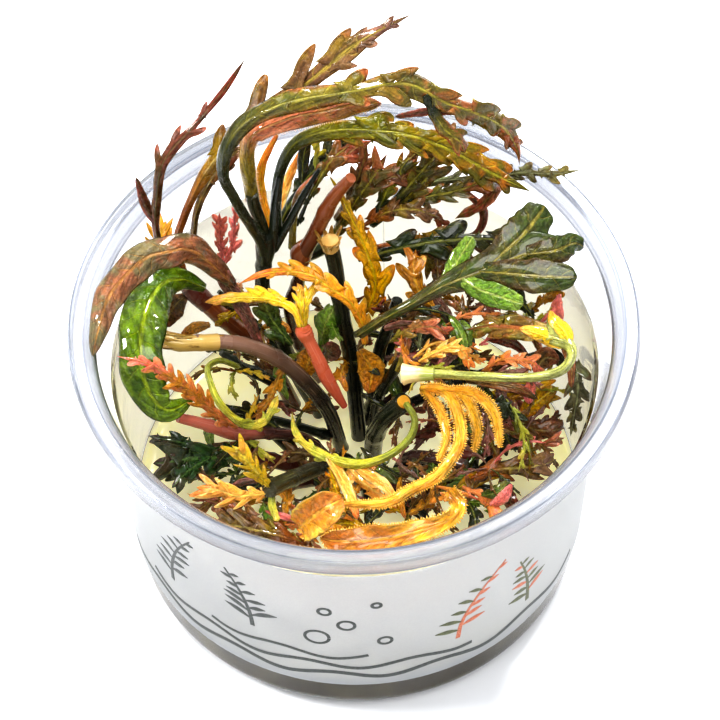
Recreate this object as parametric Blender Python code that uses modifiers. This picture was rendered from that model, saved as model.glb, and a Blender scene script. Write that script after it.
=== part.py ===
"""A lobed-leaf aquarium plant growing in its clear culture cup.

The cup is a thin clear tub with a wide rim, a paper wrap round its wall and a
bed of jelly in its base. Cut stems rise from the jelly, and leaves lie, arch
and curl between and over them. Lengths are in millimetres until a point or a
radius is handed to Blender, which takes metres. The origin is the centre of
the cup's base, +Z is up and -Y is the front.
"""
import math

import bmesh
import bpy
from mathutils import Vector

MM = 0.001

# Cup
CUP_HEIGHT = 65.3
RIM_RADIUS = 50.0
MOUTH_RADIUS = 45.2
RIM_DROP = 3.4
WALL_TOP_RADIUS = 43.3
WALL_FOOT_RADIUS = 41.9
WALL = 0.8
BASE_CORNER = 5.8
TURN_STEPS = 48

# Wrap and jelly
WRAP_LOW = 11.0
WRAP_HIGH = 51.0
WRAP_THICK = 0.3
GAP = 0.3
JELLY_TOP = 11.0

# Leaf blades and stems
BLADE_THICK = 0.8
BLADE_DROOP = 0.18
LOBE_LEAN = 0.3
UPPER_SIDE = Vector((0.0, -0.6, 0.8))
STEM_RINGS = 1


def clear_scene():
    """Removes whatever the file opened with."""
    for old in list(bpy.data.objects):
        bpy.data.objects.remove(old)


def finish(name, colour, roughness, alpha=1.0):
    """A Principled material for one kind of piece."""
    made = bpy.data.materials.new(name)
    made.use_nodes = True
    shader = made.node_tree.nodes["Principled BSDF"]
    shader.inputs["Base Color"].default_value = (*colour, 1.0)
    shader.inputs["Roughness"].default_value = roughness
    shader.inputs["Alpha"].default_value = alpha
    return made


def add_object(name, data, look, group):
    """Links a new object into a collection with its material."""
    piece = bpy.data.objects.new(name, data)
    piece.data.materials.append(look)
    group.objects.link(piece)
    return piece


def turned(name, profile, look, group):
    """A solid of revolution from a profile of (radius, height) points.

    A profile that starts or ends on the axis is left open there.
    """
    mesh = bpy.data.meshes.new(name)
    points = [(radius * MM, 0.0, height * MM) for radius, height in profile]
    edges = [(i, i + 1) for i in range(len(points) - 1)]
    if profile[0][0] > 0.0:
        edges.append((len(points) - 1, 0))
    mesh.from_pydata(points, edges, [])
    piece = add_object(name, mesh, look, group)
    screw = piece.modifiers.new("Turn", "SCREW")
    screw.steps = TURN_STEPS
    screw.render_steps = TURN_STEPS
    screw.use_merge_vertices = True
    screw.merge_threshold = 0.00005
    return piece


def corner(radius, steps=3):
    """The quarter round at the foot of the wall, from the wall to the base."""
    centre = WALL_FOOT_RADIUS - BASE_CORNER
    turns = [math.radians(90.0 * i / steps) for i in range(steps + 1)]
    return [
        (centre + radius * math.cos(turn), BASE_CORNER - radius * math.sin(turn))
        for turn in turns
    ]


def make_cup(look, group):
    """Clear tub, from the middle of its floor up the inside, over the rim and down."""
    shoulder = WRAP_HIGH + 1.0
    inside = [
        (WALL_TOP_RADIUS - WALL, shoulder),
        (WALL_TOP_RADIUS + 0.1, shoulder + 2.0),
        (MOUTH_RADIUS, CUP_HEIGHT - 3.0),
    ]
    rim = [
        (MOUTH_RADIUS + 2.0, CUP_HEIGHT),
        (RIM_RADIUS - 0.5, CUP_HEIGHT),
        (RIM_RADIUS, CUP_HEIGHT - 0.5),
        (RIM_RADIUS, CUP_HEIGHT - RIM_DROP),
        (RIM_RADIUS - WALL, CUP_HEIGHT - RIM_DROP),
        (RIM_RADIUS - WALL, CUP_HEIGHT - 1.0),
        (MOUTH_RADIUS + 2.2, CUP_HEIGHT - 1.0),
    ]
    outside = [
        (MOUTH_RADIUS + 0.8, CUP_HEIGHT - 3.2),
        (WALL_TOP_RADIUS + 0.9, shoulder + 2.0),
        (WALL_TOP_RADIUS, shoulder),
    ]
    foot_inside = corner(BASE_CORNER - WALL)[::-1]
    profile = [(0.0, WALL)] + foot_inside + inside + rim + outside
    profile += corner(BASE_CORNER) + [(0.0, 0.0)]
    return turned("cup", profile, look, group)


def make_wrap(look, group):
    """Paper wrap, just clear of the wall all round."""
    slope = (WALL_TOP_RADIUS - WALL_FOOT_RADIUS) / (WRAP_HIGH - BASE_CORNER)
    low = WALL_FOOT_RADIUS + slope * (WRAP_LOW - BASE_CORNER) + GAP
    high = WALL_TOP_RADIUS + GAP
    profile = [
        (high + WRAP_THICK, WRAP_HIGH),
        (low + WRAP_THICK, WRAP_LOW),
        (low, WRAP_LOW),
        (high, WRAP_HIGH),
    ]
    return turned("wrap", profile, look, group)


def make_jelly(look, group):
    """Jelly bed that fills the base of the cup up to its level top."""
    clear = WALL + GAP
    profile = [(0.0, JELLY_TOP), (WALL_FOOT_RADIUS - clear, JELLY_TOP)]
    profile += corner(BASE_CORNER - clear) + [(0.0, clear)]
    return turned("jelly", profile, look, group)


def along(route, count):
    """Evenly spaced samples of a smooth curve through a route's points."""
    points = [Vector(point) for point in route]
    first = points[0] * 2.0 - points[1]
    last = points[-1] * 2.0 - points[-2]
    guide = [first] + points + [last]
    dense = []
    for i in range(1, len(guide) - 2):
        a, b, c, d = guide[i - 1 : i + 3]
        for step in range(12):
            t = step / 12.0
            bend = (c - a) * t + (a * 2.0 - b * 5.0 + c * 4.0 - d) * t * t
            dense.append(b + (bend + (b * 3.0 - a - c * 3.0 + d) * t * t * t) * 0.5)
    dense.append(points[-1])
    reach = [0.0]
    for before, after in zip(dense, dense[1:]):
        reach.append(reach[-1] + (after.xyz - before.xyz).length)
    samples = []
    index = 0
    for k in range(count):
        target = reach[-1] * k / (count - 1)
        while index < len(reach) - 2 and reach[index + 1] < target:
            index += 1
        span = reach[index + 1] - reach[index]
        part = (target - reach[index]) / span if span else 0.0
        samples.append(dense[index].lerp(dense[index + 1], part))
    return samples


def make_stem(name, route, look, group, count=8):
    """A round stem along a route of (x, y, z, width) points."""
    curve = bpy.data.curves.new(name, "CURVE")
    curve.dimensions = "3D"
    curve.bevel_depth = MM
    curve.bevel_resolution = STEM_RINGS
    curve.use_fill_caps = True
    spline = curve.splines.new("POLY")
    samples = along(route, count)
    spline.points.add(len(samples) - 1)
    for point, sample in zip(spline.points, samples):
        point.co = (*(sample.xyz * MM), 1.0)
        point.radius = sample.w / 2.0
    return add_object(name, curve, look, group)


def make_leaf(name, route, look, group, lobes=0, notch=0.5, start=0.0, upper=UPPER_SIDE):
    """A blade lofted along a route of (x, y, z, width) points.

    Each section is a flat diamond: two margins and the two faces of the
    midrib. Lobes alternate from side to side past the start of the blade,
    and notch is the share of the width that is cut in between them.
    """
    plain = max(5, len(route))
    count = plain if not lobes else max(plain, round(2 * lobes / (1.0 - start)) + 1)
    samples = along(route, count)
    bm = bmesh.new()
    rings = []
    for k, sample in enumerate(samples):
        ahead = samples[min(k + 1, count - 1)].xyz
        behind = samples[max(k - 1, 0)].xyz
        forward = (ahead - behind).normalized()
        across = forward.cross(upper).normalized()
        out = across.cross(forward)
        half = sample.w / 2.0
        thick = min(BLADE_THICK, sample.w) / 2.0
        lobed = lobes and k / (count - 1) > start and k < count - 1
        ring = []
        for side in (-1, 1):
            peak = (k % 2 == 0) == (side < 0)
            reach = half * (1.0 - notch) if lobed and not peak else half
            lean = half * LOBE_LEAN if lobed and peak else 0.0
            droop = reach * BLADE_DROOP
            ring.append(sample.xyz + across * side * reach + forward * lean - out * droop)
        faces = [sample.xyz + out * thick, sample.xyz - out * thick]
        corners = [ring[0], faces[0], ring[1], faces[1]]
        rings.append([bm.verts.new(spot * MM) for spot in corners])
    for near, far in zip(rings, rings[1:]):
        for i in range(4):
            j = (i + 1) % 4
            bm.faces.new((near[i], near[j], far[j], far[i]))
    bm.faces.new(rings[0][::-1])
    bm.faces.new(rings[-1])
    bmesh.ops.recalc_face_normals(bm, faces=bm.faces)
    mesh = bpy.data.meshes.new(name)
    bm.to_mesh(mesh)
    bm.free()
    return add_object(name, mesh, look, group)


def as_mesh(curve_piece):
    """Turns a stem's curve into a welded mesh, so that leaves can be joined to it."""
    graph = bpy.context.evaluated_depsgraph_get()
    mesh = bpy.data.meshes.new_from_object(curve_piece.evaluated_get(graph))
    bm = bmesh.new()
    bm.from_mesh(mesh)
    bmesh.ops.remove_doubles(bm, verts=bm.verts, dist=0.00001)
    bm.to_mesh(mesh)
    bm.free()
    name = curve_piece.name
    group = curve_piece.users_collection[0]
    place = curve_piece.matrix_world.copy()
    bpy.data.objects.remove(curve_piece)
    piece = bpy.data.objects.new(name, mesh)
    group.objects.link(piece)
    piece.matrix_world = place
    return piece


def join(piece, offshoots, helpers):
    """Fuses side leaves into the piece that they grow from."""
    for offshoot in offshoots:
        for owner in list(offshoot.users_collection):
            owner.objects.unlink(offshoot)
        helpers.objects.link(offshoot)
        offshoot.hide_render = True
        offshoot.display_type = "WIRE"
        union = piece.modifiers.new("Join " + offshoot.name, "BOOLEAN")
        union.operation = "UNION"
        union.object = offshoot
    return piece


class Planting:
    """Makes the named stems and leaves in their collections."""

    def __init__(self, looks, group, helpers):
        self.looks = looks
        self.group = group
        self.helpers = helpers

    def stem(self, name, look, route, count=8, leaves=()):
        """A stem, with any small leaves that grow from it joined on."""
        bpy.context.view_layer.update()
        piece = make_stem(name, route, self.looks[look], self.group, count)
        if not leaves:
            return piece
        bpy.context.view_layer.update()
        return join(as_mesh(piece), self.side_leaves(name, look, leaves), self.helpers)

    def leaf(self, name, look, route, lobes=0, notch=0.5, start=0.0, upper=UPPER_SIDE, leaves=()):
        """A leaf, with any long side lobes joined on."""
        shape = (lobes, notch, start, upper)
        piece = make_leaf(name, route, self.looks[look], self.group, *shape)
        return join(piece, self.side_leaves(name, look, leaves), self.helpers)

    def side_leaves(self, name, look, leaves):
        """The small leaves or lobes that are joined to one piece."""
        made = []
        for number, (route, lobes) in enumerate(leaves):
            label = name + "_side_" + str(number + 1)
            made.append(make_leaf(label, route, self.looks[look], self.group, lobes))
        return made


def plant_stems(bed):
    """The cut stems, from the back of the cup to the front."""
    bed.stem("rust_stem", "rust", [
        (0, 20.5, 79, 2.2), (-3.5, 21, 72, 2.8), (-6.8, 20.5, 63, 2.9), (-9, 20.5, 57, 2.8),
        (-10, 21, 49, 2.4), (-12, 21.5, 40, 2.2), (-10.5, 23, 26, 2.2), (-7.5, 25, 12, 2.2)], 10)
    bed.stem("coral_shoot", "orange", [
        (-9, 7, 53, 2.4), (-7, 5, 48, 2.5), (-5, 3, 43, 2.6), (-2, 1, 37, 1.2)], 6, [
        ([(-9, 7, 52, 1.4), (-8.5, 9.5, 57, 3.2), (-7, 12, 58.5, 2.6), (-5.5, 14, 58, 1)], 0),
        ([(-9, 7, 52, 1.4), (-9.5, 9, 57, 2), (-9.5, 12, 58, 1.6), (-10, 13.5, 58, 0.6)], 0)])
    bed.stem("crowned_stem", "dark", [
        (-4, 18, 64, 3.4), (-3, 17, 57, 2.9), (-2.5, 15.5, 50, 2.9), (-1.5, 15, 40, 3),
        (-0.5, 14.5, 31, 3), (0, 12.5, 22, 3), (0.5, 11.5, 12, 3)], 9)
    bed.stem("noded_stem", "dark", [
        (-15.5, 20.5, 62, 3.6), (-16, 20, 58, 2.9), (-16.5, 19, 49, 2.9), (-14.5, 19, 38, 2.9),
        (-11.5, 18, 25, 2.9), (-7, 17, 12, 2.9)], 9)
    bed.stem("left_rust_stem", "rust", [
        (-30, 21.5, 47, 3.6), (-25.5, 20, 41, 3.4), (-20, 19.5, 33, 3.4), (-15, 19, 22, 3),
        (-12, 19, 12, 3)], 8)
    bed.stem("beige_stem", "beige", [
        (-36, 5.5, 54, 2.2), (-32, 4.5, 53, 2.6), (-24, 6, 51, 2.8), (-19, 7, 48, 2.9),
        (-13.5, 8, 42, 3), (-8.5, 8.5, 33, 3), (-5, 8.5, 24, 2.9), (-3, 9, 12, 2.8)], 12)
    bed.stem("pink_stem", "pink", [
        (-32, -3.5, 41, 2), (-27.5, -3, 38, 2.2), (-22, -2.5, 34, 2.8), (-16, -0.5, 31, 2.3),
        (-9.5, 2, 25, 2.3), (-4, 4.5, 12, 2.2)], 10)
    bed.stem("maroon_stem", "maroon", [
        (-20, -2.5, 27, 3.2), (-14, -2.5, 24, 2.9), (-8, -1, 18, 2.7), (-6, -1, 12, 2.7)], 7)
    bed.stem("olive_shoot", "olive", [
        (-15.5, -20.5, 43, 3.4), (-12, -16, 39, 3.1), (-6.5, -9.5, 33, 3.1), (-2, -3, 25, 3),
        (0, 1, 12, 2.8)], 9, [
        ([(-15.5, -20, 43, 2), (-18, -20, 49, 3.6), (-20, -19, 52, 3.6), (-21.5, -18.5, 54, 2)], 3),
        ([(-14.5, -20, 41, 1.6), (-21, -22.5, 44, 4.4), (-24, -22.5, 46, 4.4), (-28, -22.5, 47, 3)], 3),
        ([(-15, -20.5, 42, 1), (-15, -23, 41.5, 1.4), (-14, -26, 41, 1.2)], 0)])
    bed.stem("stub_stem", "dark", [
        (8.5, 1.5, 37, 3.8), (5.5, 2.5, 31, 3.6), (3.5, 4.5, 22, 3.6), (3, 6, 12, 3.4)], 7)
    bed.stem("mauve_stem", "maroon", [
        (20, -6.5, 28, 2.4), (14.5, -3.5, 26, 2.6), (9.5, 0, 21, 2.6), (7.5, 2, 12, 2.6)], 7, [
        ([(14, -3, 25, 1), (14, -8, 28, 3), (13, -12, 29, 0.8)], 0),
        ([(10, 0, 22, 1), (14, 4, 25, 3), (17, 8, 27, 0.8)], 0)])
    bed.stem("slant_stem", "dark", [
        (15, 9.5, 49, 1.8), (10, 9, 43, 2), (6.5, 9.5, 34, 2), (4, 10.5, 24, 2),
        (3.5, 11, 12, 2.2)], 8)
    bed.stem("leafy_stem", "dark", [
        (8, 17.5, 47, 2.2), (6.5, 16.5, 41, 2.4), (4.5, 15.5, 33, 2.4), (3.5, 15.5, 20, 2.4),
        (2, 15, 12, 2.4)], 8, [
        ([(6, 16.5, 38, 1), (11, 18, 41, 4), (17, 20, 42, 0.8)], 0),
        ([(5, 15.5, 32, 1), (11, 14, 33, 3.4), (17, 13, 35, 0.8)], 0)])
    bed.stem("front_stem", "dark", [
        (30, -8.5, 32, 2.6), (25.5, -8, 28, 2.6), (21, -6.5, 22, 2.4), (19, -5, 12, 2.4)], 7)


def plant_back_leaves(bed):
    """The leaves that rise over the back of the rim."""
    bed.leaf("red_edge_leaf", "brown", [
        (-34.5, 19.5, 60, 1.4), (-35, 21, 66, 1.6), (-34.5, 22.5, 71, 2.4), (-33.5, 24.5, 77, 3),
        (-31.5, 26.5, 80, 3.2), (-28, 28.5, 83, 3.2), (-24.5, 31, 86, 2.4), (-21.5, 33, 89, 1.6),
        (-18, 36, 93, 0.6)], 4, 0.5, 0.3, leaves=[
        ([(-34.9, 21, 66, 1), (-37, 23, 71, 2.4), (-38, 24, 76, 0.5)], 0)])
    bed.leaf("tall_leaf", "olive", [
        (-30.5, 19, 53, 1.2), (-31.5, 20.5, 61, 1.6), (-30, 21.5, 67, 1.7), (-27.5, 23, 73, 2),
        (-24, 26.5, 77, 4), (-19.5, 29.5, 81, 5), (-14, 32.5, 84, 7), (-8.5, 33.5, 88, 7),
        (-4, 34.5, 92, 6.5), (0, 36, 95, 6.6), (4.5, 37, 98, 5), (11, 38.5, 101, 0.8)],
        7, 0.6, 0.3)
    bed.leaf("brown_back_leaf", "brown", [
        (-29, 24, 57, 1.3), (-28, 26, 63, 1.5), (-26, 28.5, 67, 2.5), (-23.5, 31.5, 69, 5),
        (-21, 33, 71, 5), (-19.5, 34, 72, 1)], 2, 0.4, 0.4)
    bed.leaf("arching_leaf", "olive", [
        (-16, 19.5, 64, 1.3), (-18.5, 18, 71, 1.6), (-20.5, 17.5, 78, 1.9), (-22, 17.5, 84, 2),
        (-21, 19, 90, 2.2), (-17, 21.5, 94, 2.6), (-10, 23.5, 96, 4), (0, 25.5, 96, 4.6),
        (9.5, 28, 95, 6), (16.5, 27, 91, 6), (22.5, 27.5, 87, 5), (27, 28.5, 82, 4.6),
        (29.5, 28.5, 76, 3.2), (30, 28.5, 72, 1.2)], 8, 0.5, 0.4, leaves=[
        ([(13, 27, 93, 1.6), (16, 25, 87, 3), (19, 24, 84, 2.6), (20, 24, 81, 0.8)], 0)])
    bed.leaf("rolled_leaf", "rust", [
        (-17.5, 22.5, 70, 2), (-18, 23, 77, 2.4), (-18, 24, 83, 2.6), (-16.5, 25, 86, 2.8),
        (-10.5, 27, 87.5, 3.2), (-4.5, 28, 88, 3.2), (1, 29.5, 88, 3), (5.5, 30.5, 87, 1)])
    bed.leaf("olive_leaf", "green", [
        (-13.5, 22, 60, 1.4), (-13.5, 24.5, 67, 1.6), (-12.5, 26.5, 74, 1.8), (-9.5, 28.5, 79, 2.6),
        (-3.5, 29.5, 81, 4.5), (3.5, 29.5, 81, 5), (10.5, 29, 80, 5.4), (17.5, 28, 77, 5.2),
        (24.5, 27, 72, 5), (32, 25.5, 68, 1.2)], 6, 0.5, 0.35, leaves=[
        ([(24, 27, 72, 1.2), (26, 30.5, 63, 3), (24, 31, 58, 3), (19, 31.5, 53, 0.8)], 0)])
    bed.leaf("back_shoot", "green", [
        (-14.5, 26.5, 55, 1.8), (-11.5, 29, 60, 2.2), (-8.5, 32, 64, 3), (-5, 34, 67, 4.4),
        (-2, 36, 69, 3.4), (0.5, 37.5, 70, 1)], 2, 0.4, 0.4, leaves=[
        ([(-9, 31.5, 63, 1), (-8.5, 34.5, 68, 2.4), (-7.5, 36, 71, 1)], 0),
        ([(-14.5, 26.5, 55, 1), (-12.5, 34.5, 58, 2.4), (-9, 39.5, 64, 0.7)], 0),
        ([(-14.5, 26.5, 55, 1), (-16.5, 33.5, 64, 1.8), (-13, 38, 71, 0.7)], 0)])
    bed.leaf("curved_leaf", "brown", [
        (-11, 23, 56, 1.8), (-10.5, 24.5, 62, 1.5), (-9.5, 26.5, 67, 1.6), (-6, 30, 68, 1.8),
        (-2, 33, 69, 3.5), (1.5, 35, 70, 4.2), (4, 35.5, 71, 2)], 1, 0.3, 0.6)
    bed.leaf("dark_leaf", "dark_leaf", [
        (-12.5, 25.5, 46, 1), (-9, 26, 49, 2.2), (-5, 26.5, 52, 2.6), (-2, 27.5, 57, 2.4),
        (1, 28.5, 63, 3), (4, 29.5, 68, 4.2), (6.5, 31.5, 72, 2)], 3, 0.4, 0.5)
    bed.leaf("forked_leaf", "dark_leaf", [
        (3.5, 28, 56, 1.8), (8, 29.5, 60, 2.8), (11, 30, 63, 4.2), (13.5, 30.5, 66, 4.6),
        (15.5, 32.5, 70, 2.5)], 1, 0.4, 0.35, leaves=[
        ([(10, 30, 62, 1), (9, 32, 67, 3.4), (13, 34.5, 70, 1)], 0)])
    bed.leaf("grey_leaf", "green", [
        (12.5, 37, 53, 1), (13.5, 36.5, 57, 1.4), (19, 35, 60, 2.8), (25, 33.5, 62, 3),
        (30.5, 31.5, 66, 2.6), (35.5, 27, 71, 2.4), (40.5, 24.5, 75, 1.2)], leaves=[
        ([(12.5, 37, 53.2, 1), (14, 37, 50, 3), (15.5, 36, 48, 2), (18.5, 34.5, 46, 1)], 1)])
    bed.leaf("flat_leaf", "olive", [
        (4.5, 29, 48, 1.2), (9, 28.5, 49, 3), (13.5, 29, 50, 5), (19, 28, 50, 4),
        (27, 28.5, 50, 1.2)], 3, 0.4, 0.1, leaves=[
        ([(11, 28.5, 49, 1.6), (14, 27, 47, 4), (15, 25.5, 44, 0.8)], 0)])


def plant_left_leaves(bed):
    """The leaves on the left, some lying over the rim."""
    bed.leaf("copper_leaf", "brown", [
        (-21.5, 14, 57, 1.6), (-25, 13.5, 64, 3.2), (-28.5, 13, 69, 5), (-32.5, 11, 71, 5),
        (-36.5, 9.5, 71, 5.5), (-42, 3, 70, 5), (-44, -3.5, 68.5, 3.2), (-45, -8, 66.9, 1.2)],
        3, 0.3, 0.25)
    bed.leaf("glossy_leaf", "green", [
        (-27, 18, 51, 1.6), (-30.5, 17, 55, 4), (-34, 14, 58, 6.6), (-36.5, 8, 59.5, 8),
        (-37.5, 1.5, 59, 8), (-37.5, -3, 56.5, 7.6), (-36, -6.5, 52.5, 6.6), (-33, -8, 50, 4.5),
        (-28.5, -4, 48, 0.8)], 0)
    bed.leaf("frilly_leaf", "orange", [
        (-32.5, 20, 52, 1.6), (-34, 20, 56, 4), (-34.5, 22, 58, 5), (-34.5, 24, 60, 4),
        (-33.5, 26, 61, 1)], 3, 0.3, 0.1)
    bed.leaf("pink_tip_leaf", "pink", [
        (-21.5, -4.5, 39, 2), (-25, -5.5, 45, 4.6), (-28.5, -6, 52, 4.6), (-32, -7.5, 59, 3.2),
        (-35.5, -8, 64, 2.4), (-41, -7.5, 66, 0.8)], 6, 0.4, 0.0)
    bed.leaf("yellow_loop_leaf", "yellow", [
        (-21, 4, 46, 1.2), (-24, 2.5, 50, 1.6), (-26, -1, 53, 1.8), (-25.5, -5, 54, 1.8),
        (-24, -8.5, 53, 2.2), (-21.5, -10, 50, 2.6), (-19, -9.5, 47, 2.6), (-16.5, -7.5, 45, 2.4),
        (-15, -3.5, 43, 2.6), (-14, 1, 41, 2.6)])
    bed.leaf("coral_back_shoot", "pink", [
        (-24, 24.5, 49, 1.4), (-24, 25.5, 54, 2), (-24, 26.5, 58, 2), (-24, 27.5, 61, 1.2)],
        3, 0.5, 0.0, leaves=[
        ([(-24, 24.4, 49.5, 1), (-22, 26, 53, 2.2), (-21.5, 28, 57, 1.8), (-21, 30, 61, 0.7)], 0)])


def plant_centre_leaves(bed):
    """The leaves that lie over the stems in the middle."""
    bed.leaf("orange_leaf", "orange", [
        (-20.5, 12, 60, 0.6), (-16, 13.5, 61, 2), (-11, 13.5, 61.5, 3.2), (-7.5, 13, 61, 4),
        (-4, 11.5, 59, 3.8), (-0.5, 10.5, 56, 3.6), (1.5, 9.5, 51, 2.6), (2, 8.5, 46, 1.6)],
        5, 0.5, 0.15)
    bed.leaf("yellow_leaf", "yellow", [
        (-26.5, 10, 57.5, 1.5), (-22, 10.5, 58, 2.4), (-16.5, 10.5, 58, 3), (-12.5, 9.5, 57.5, 3),
        (-10.5, 8, 57, 1.6), (-9.5, 6, 55, 1.2)], 4, 0.5, 0.1)
    bed.leaf("golden_leaf", "yellow", [
        (2, 15.5, 46, 1.6), (3.5, 16, 50, 4), (4, 17, 54, 5), (3, 18.5, 58, 5.4),
        (1.5, 20.5, 62, 5), (-0.5, 23, 66, 2.8), (-2, 25, 69, 1.6), (-4, 27.5, 71.5, 0.5)],
        4, 0.55, 0.05)
    bed.leaf("green_shoot", "green", [
        (-11.5, 11.5, 42, 1.4), (-14.5, 13.5, 46, 4), (-16, 14.5, 50, 3.6), (-17, 15, 53, 1.2)],
        2, 0.4, 0.1)
    bed.leaf("centre_shoot", "green", [
        (-6, 14.5, 34, 1.2), (-5.5, 18, 39, 3.6), (-4.5, 20, 43, 1.4)], 1, 0.3, 0.2, leaves=[
        ([(-6, 14.5, 34.2, 1), (-4.5, 12.5, 38, 3.4), (-4.2, 12, 42, 1)], 0)])


def plant_right_leaves(bed):
    """The leaves on the right, above the jelly and along the wall."""
    bed.leaf("big_leaf", "green", [
        (1, 7, 51, 1.6), (5.5, 7.5, 55, 2), (10.5, 8.5, 58, 2.6), (15.5, 10.5, 60, 4),
        (21, 12, 61.5, 5), (26, 13.5, 62.5, 5), (31.5, 15.5, 63, 5), (36, 16, 63, 3.6),
        (39, 15.5, 62.5, 1.2)], leaves=[
        ([(16.5, 11, 60.2, 2), (19, 15, 62, 2.8), (21.5, 19, 63.5, 1.6)], 0),
        ([(25, 13.4, 62.3, 2), (30, 18, 64.5, 6.5), (34.5, 23, 66.5, 4)], 0),
        ([(22.5, 12.5, 61.8, 2), (31.5, 11, 62.3, 5), (39.5, 10.5, 62.3, 2.4)], 0),
        ([(19.5, 11.5, 61, 2), (24.5, 8.5, 60.5, 4), (30, 6, 60.5, 1.6)], 0)])
    bed.leaf("gold_lobed_shoot", "orange", [
        (16, 14.5, 46, 1.4), (12, 17, 50, 4.4), (11, 20, 53, 4), (11.5, 23, 55, 1.6)],
        2, 0.4, 0.2, leaves=[
        ([(16, 14.5, 46.2, 1), (15.5, 20, 50, 2.4), (15.5, 25, 52, 1.2)], 0)])
    bed.leaf("pale_petiole_leaf", "yellow", [
        (10, -4, 54, 3), (15, -4.5, 54.5, 2.4), (22, -5.5, 55, 2.2), (29, -6, 55, 2.2),
        (34, -5.5, 55, 2.3), (37, -4, 55, 2.4), (38.5, -1, 55, 2.4), (37.5, 1.5, 55, 3.6),
        (33, 4, 55, 6.4), (28.5, 5.5, 54.5, 7), (24, 6.5, 53.5, 5), (21, 6.5, 52.5, 1.4)])
    bed.leaf("fuzzy_leaf", "yellow", [
        (11.5, -4.5, 50, 2), (15.5, -5.5, 51, 3), (17.5, -8, 50.5, 2.8), (18.5, -13, 49, 3),
        (17.5, -16.5, 47.5, 3.2), (14, -20.5, 46, 3.2), (9.5, -22.5, 45, 3), (5, -24.5, 44, 2.4),
        (-3, -24, 43, 1.4)], leaves=[
        ([(15.5, -5.5, 51, 1.6), (19.5, -7, 50.5, 3), (21.5, -10.5, 47, 2.6), (21, -14, 44, 1)], 0),
        ([(15.5, -5.5, 51.2, 1.6), (21, -7, 52, 3), (24.5, -10, 50, 3), (25.5, -14.5, 46, 1.2)], 0)])
    bed.leaf("ring_leaf", "yellow", [
        (9, -5.5, 47, 1.4), (10.5, -8.5, 46.5, 1.6), (9.5, -12, 45.5, 1.8), (5.5, -15, 44.5, 2),
        (0.5, -16, 43.5, 2.2), (-4.5, -14, 42.5, 2.4), (-9, -10, 41, 2), (-11, -6, 40, 1.8),
        (-11.5, -2, 40, 1.2)])
    bed.leaf("coral_right_leaf", "pink", [
        (37, 11.5, 56, 1.4), (36.5, 9.5, 54, 3), (36, 8, 51, 3), (37, 6.5, 49, 1)],
        2, 0.4, 0.1)
    bed.leaf("wall_leaf", "green", [
        (38.5, 5, 46, 1.4), (39.5, 2, 47, 3), (40, 0, 46, 3), (40, -2, 43, 2.6),
        (39.5, -3.5, 40, 2.2), (39, -5, 35, 1.6)], 2, 0.3, 0.1)
    bed.leaf("gold_back_leaf", "orange", [
        (32.5, 17.5, 42, 1.2), (35, 18, 46, 2.5), (36.5, 17, 49, 3.4), (37.5, 17, 52, 1.5)])
    bed.leaf("curl_shoot", "olive", [
        (25.5, -4.5, 47, 3.6), (28, -6.5, 44.5, 2.8), (30.5, -9.5, 42, 1.6), (31, -12.5, 40, 1.3),
        (31, -14.5, 37, 1.2)], leaves=[
        ([(26, -5, 46.6, 1), (26.5, -2, 45.5, 3.4), (25.5, 1, 46, 1)], 0)])
    bed.leaf("lower_gold_leaf", "olive", [
        (20.5, -14.5, 36, 1.4), (24.5, -13.5, 37, 4.5), (29.5, -13, 37, 5), (33.5, -12.5, 37, 3),
        (36, -11, 36.5, 1)], 2, 0.3, 0.1)
    bed.leaf("gold_hook_leaf", "orange", [
        (11.5, 1.5, 50, 1.4), (14.5, 2, 52, 2.4), (18, 2.5, 53, 2.4), (20, 1.5, 51, 2.4),
        (20.5, 0, 49, 1.2)])
    bed.leaf("arch_shoot", "brown", [
        (6.5, 6, 50, 1.2), (8.5, 5.5, 53, 2), (11.5, 5.5, 55, 2.6), (14.5, 4.5, 56, 2.6),
        (17, 4, 54.5, 1.4)], leaves=[
        ([(8.5, 5.5, 53, 1), (9, 3.5, 49.5, 1.8), (11.5, 0.5, 49, 0.8)], 0)])
    bed.leaf("pink_arch_leaf", "pink", [
        (23, 2, 46, 1.4), (26, 2.5, 48.5, 1.8), (29, 1.5, 50, 2), (32, 1, 49.5, 2),
        (33.5, -0.5, 47, 1.2)], 3, 0.4, 0.2)
    bed.leaf("gold_low_leaf", "orange", [
        (24, 3, 37, 1.6), (28.5, 3, 38, 3.6), (33, 2.5, 38, 4), (36, 1, 37, 1.6)],
        2, 0.4, 0.3, leaves=[
        ([(25, 3, 37.2, 1), (28.5, -2, 36, 2.6), (34, -4.5, 36, 3.8), (38, -4, 36, 1.6)], 3)])


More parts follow.
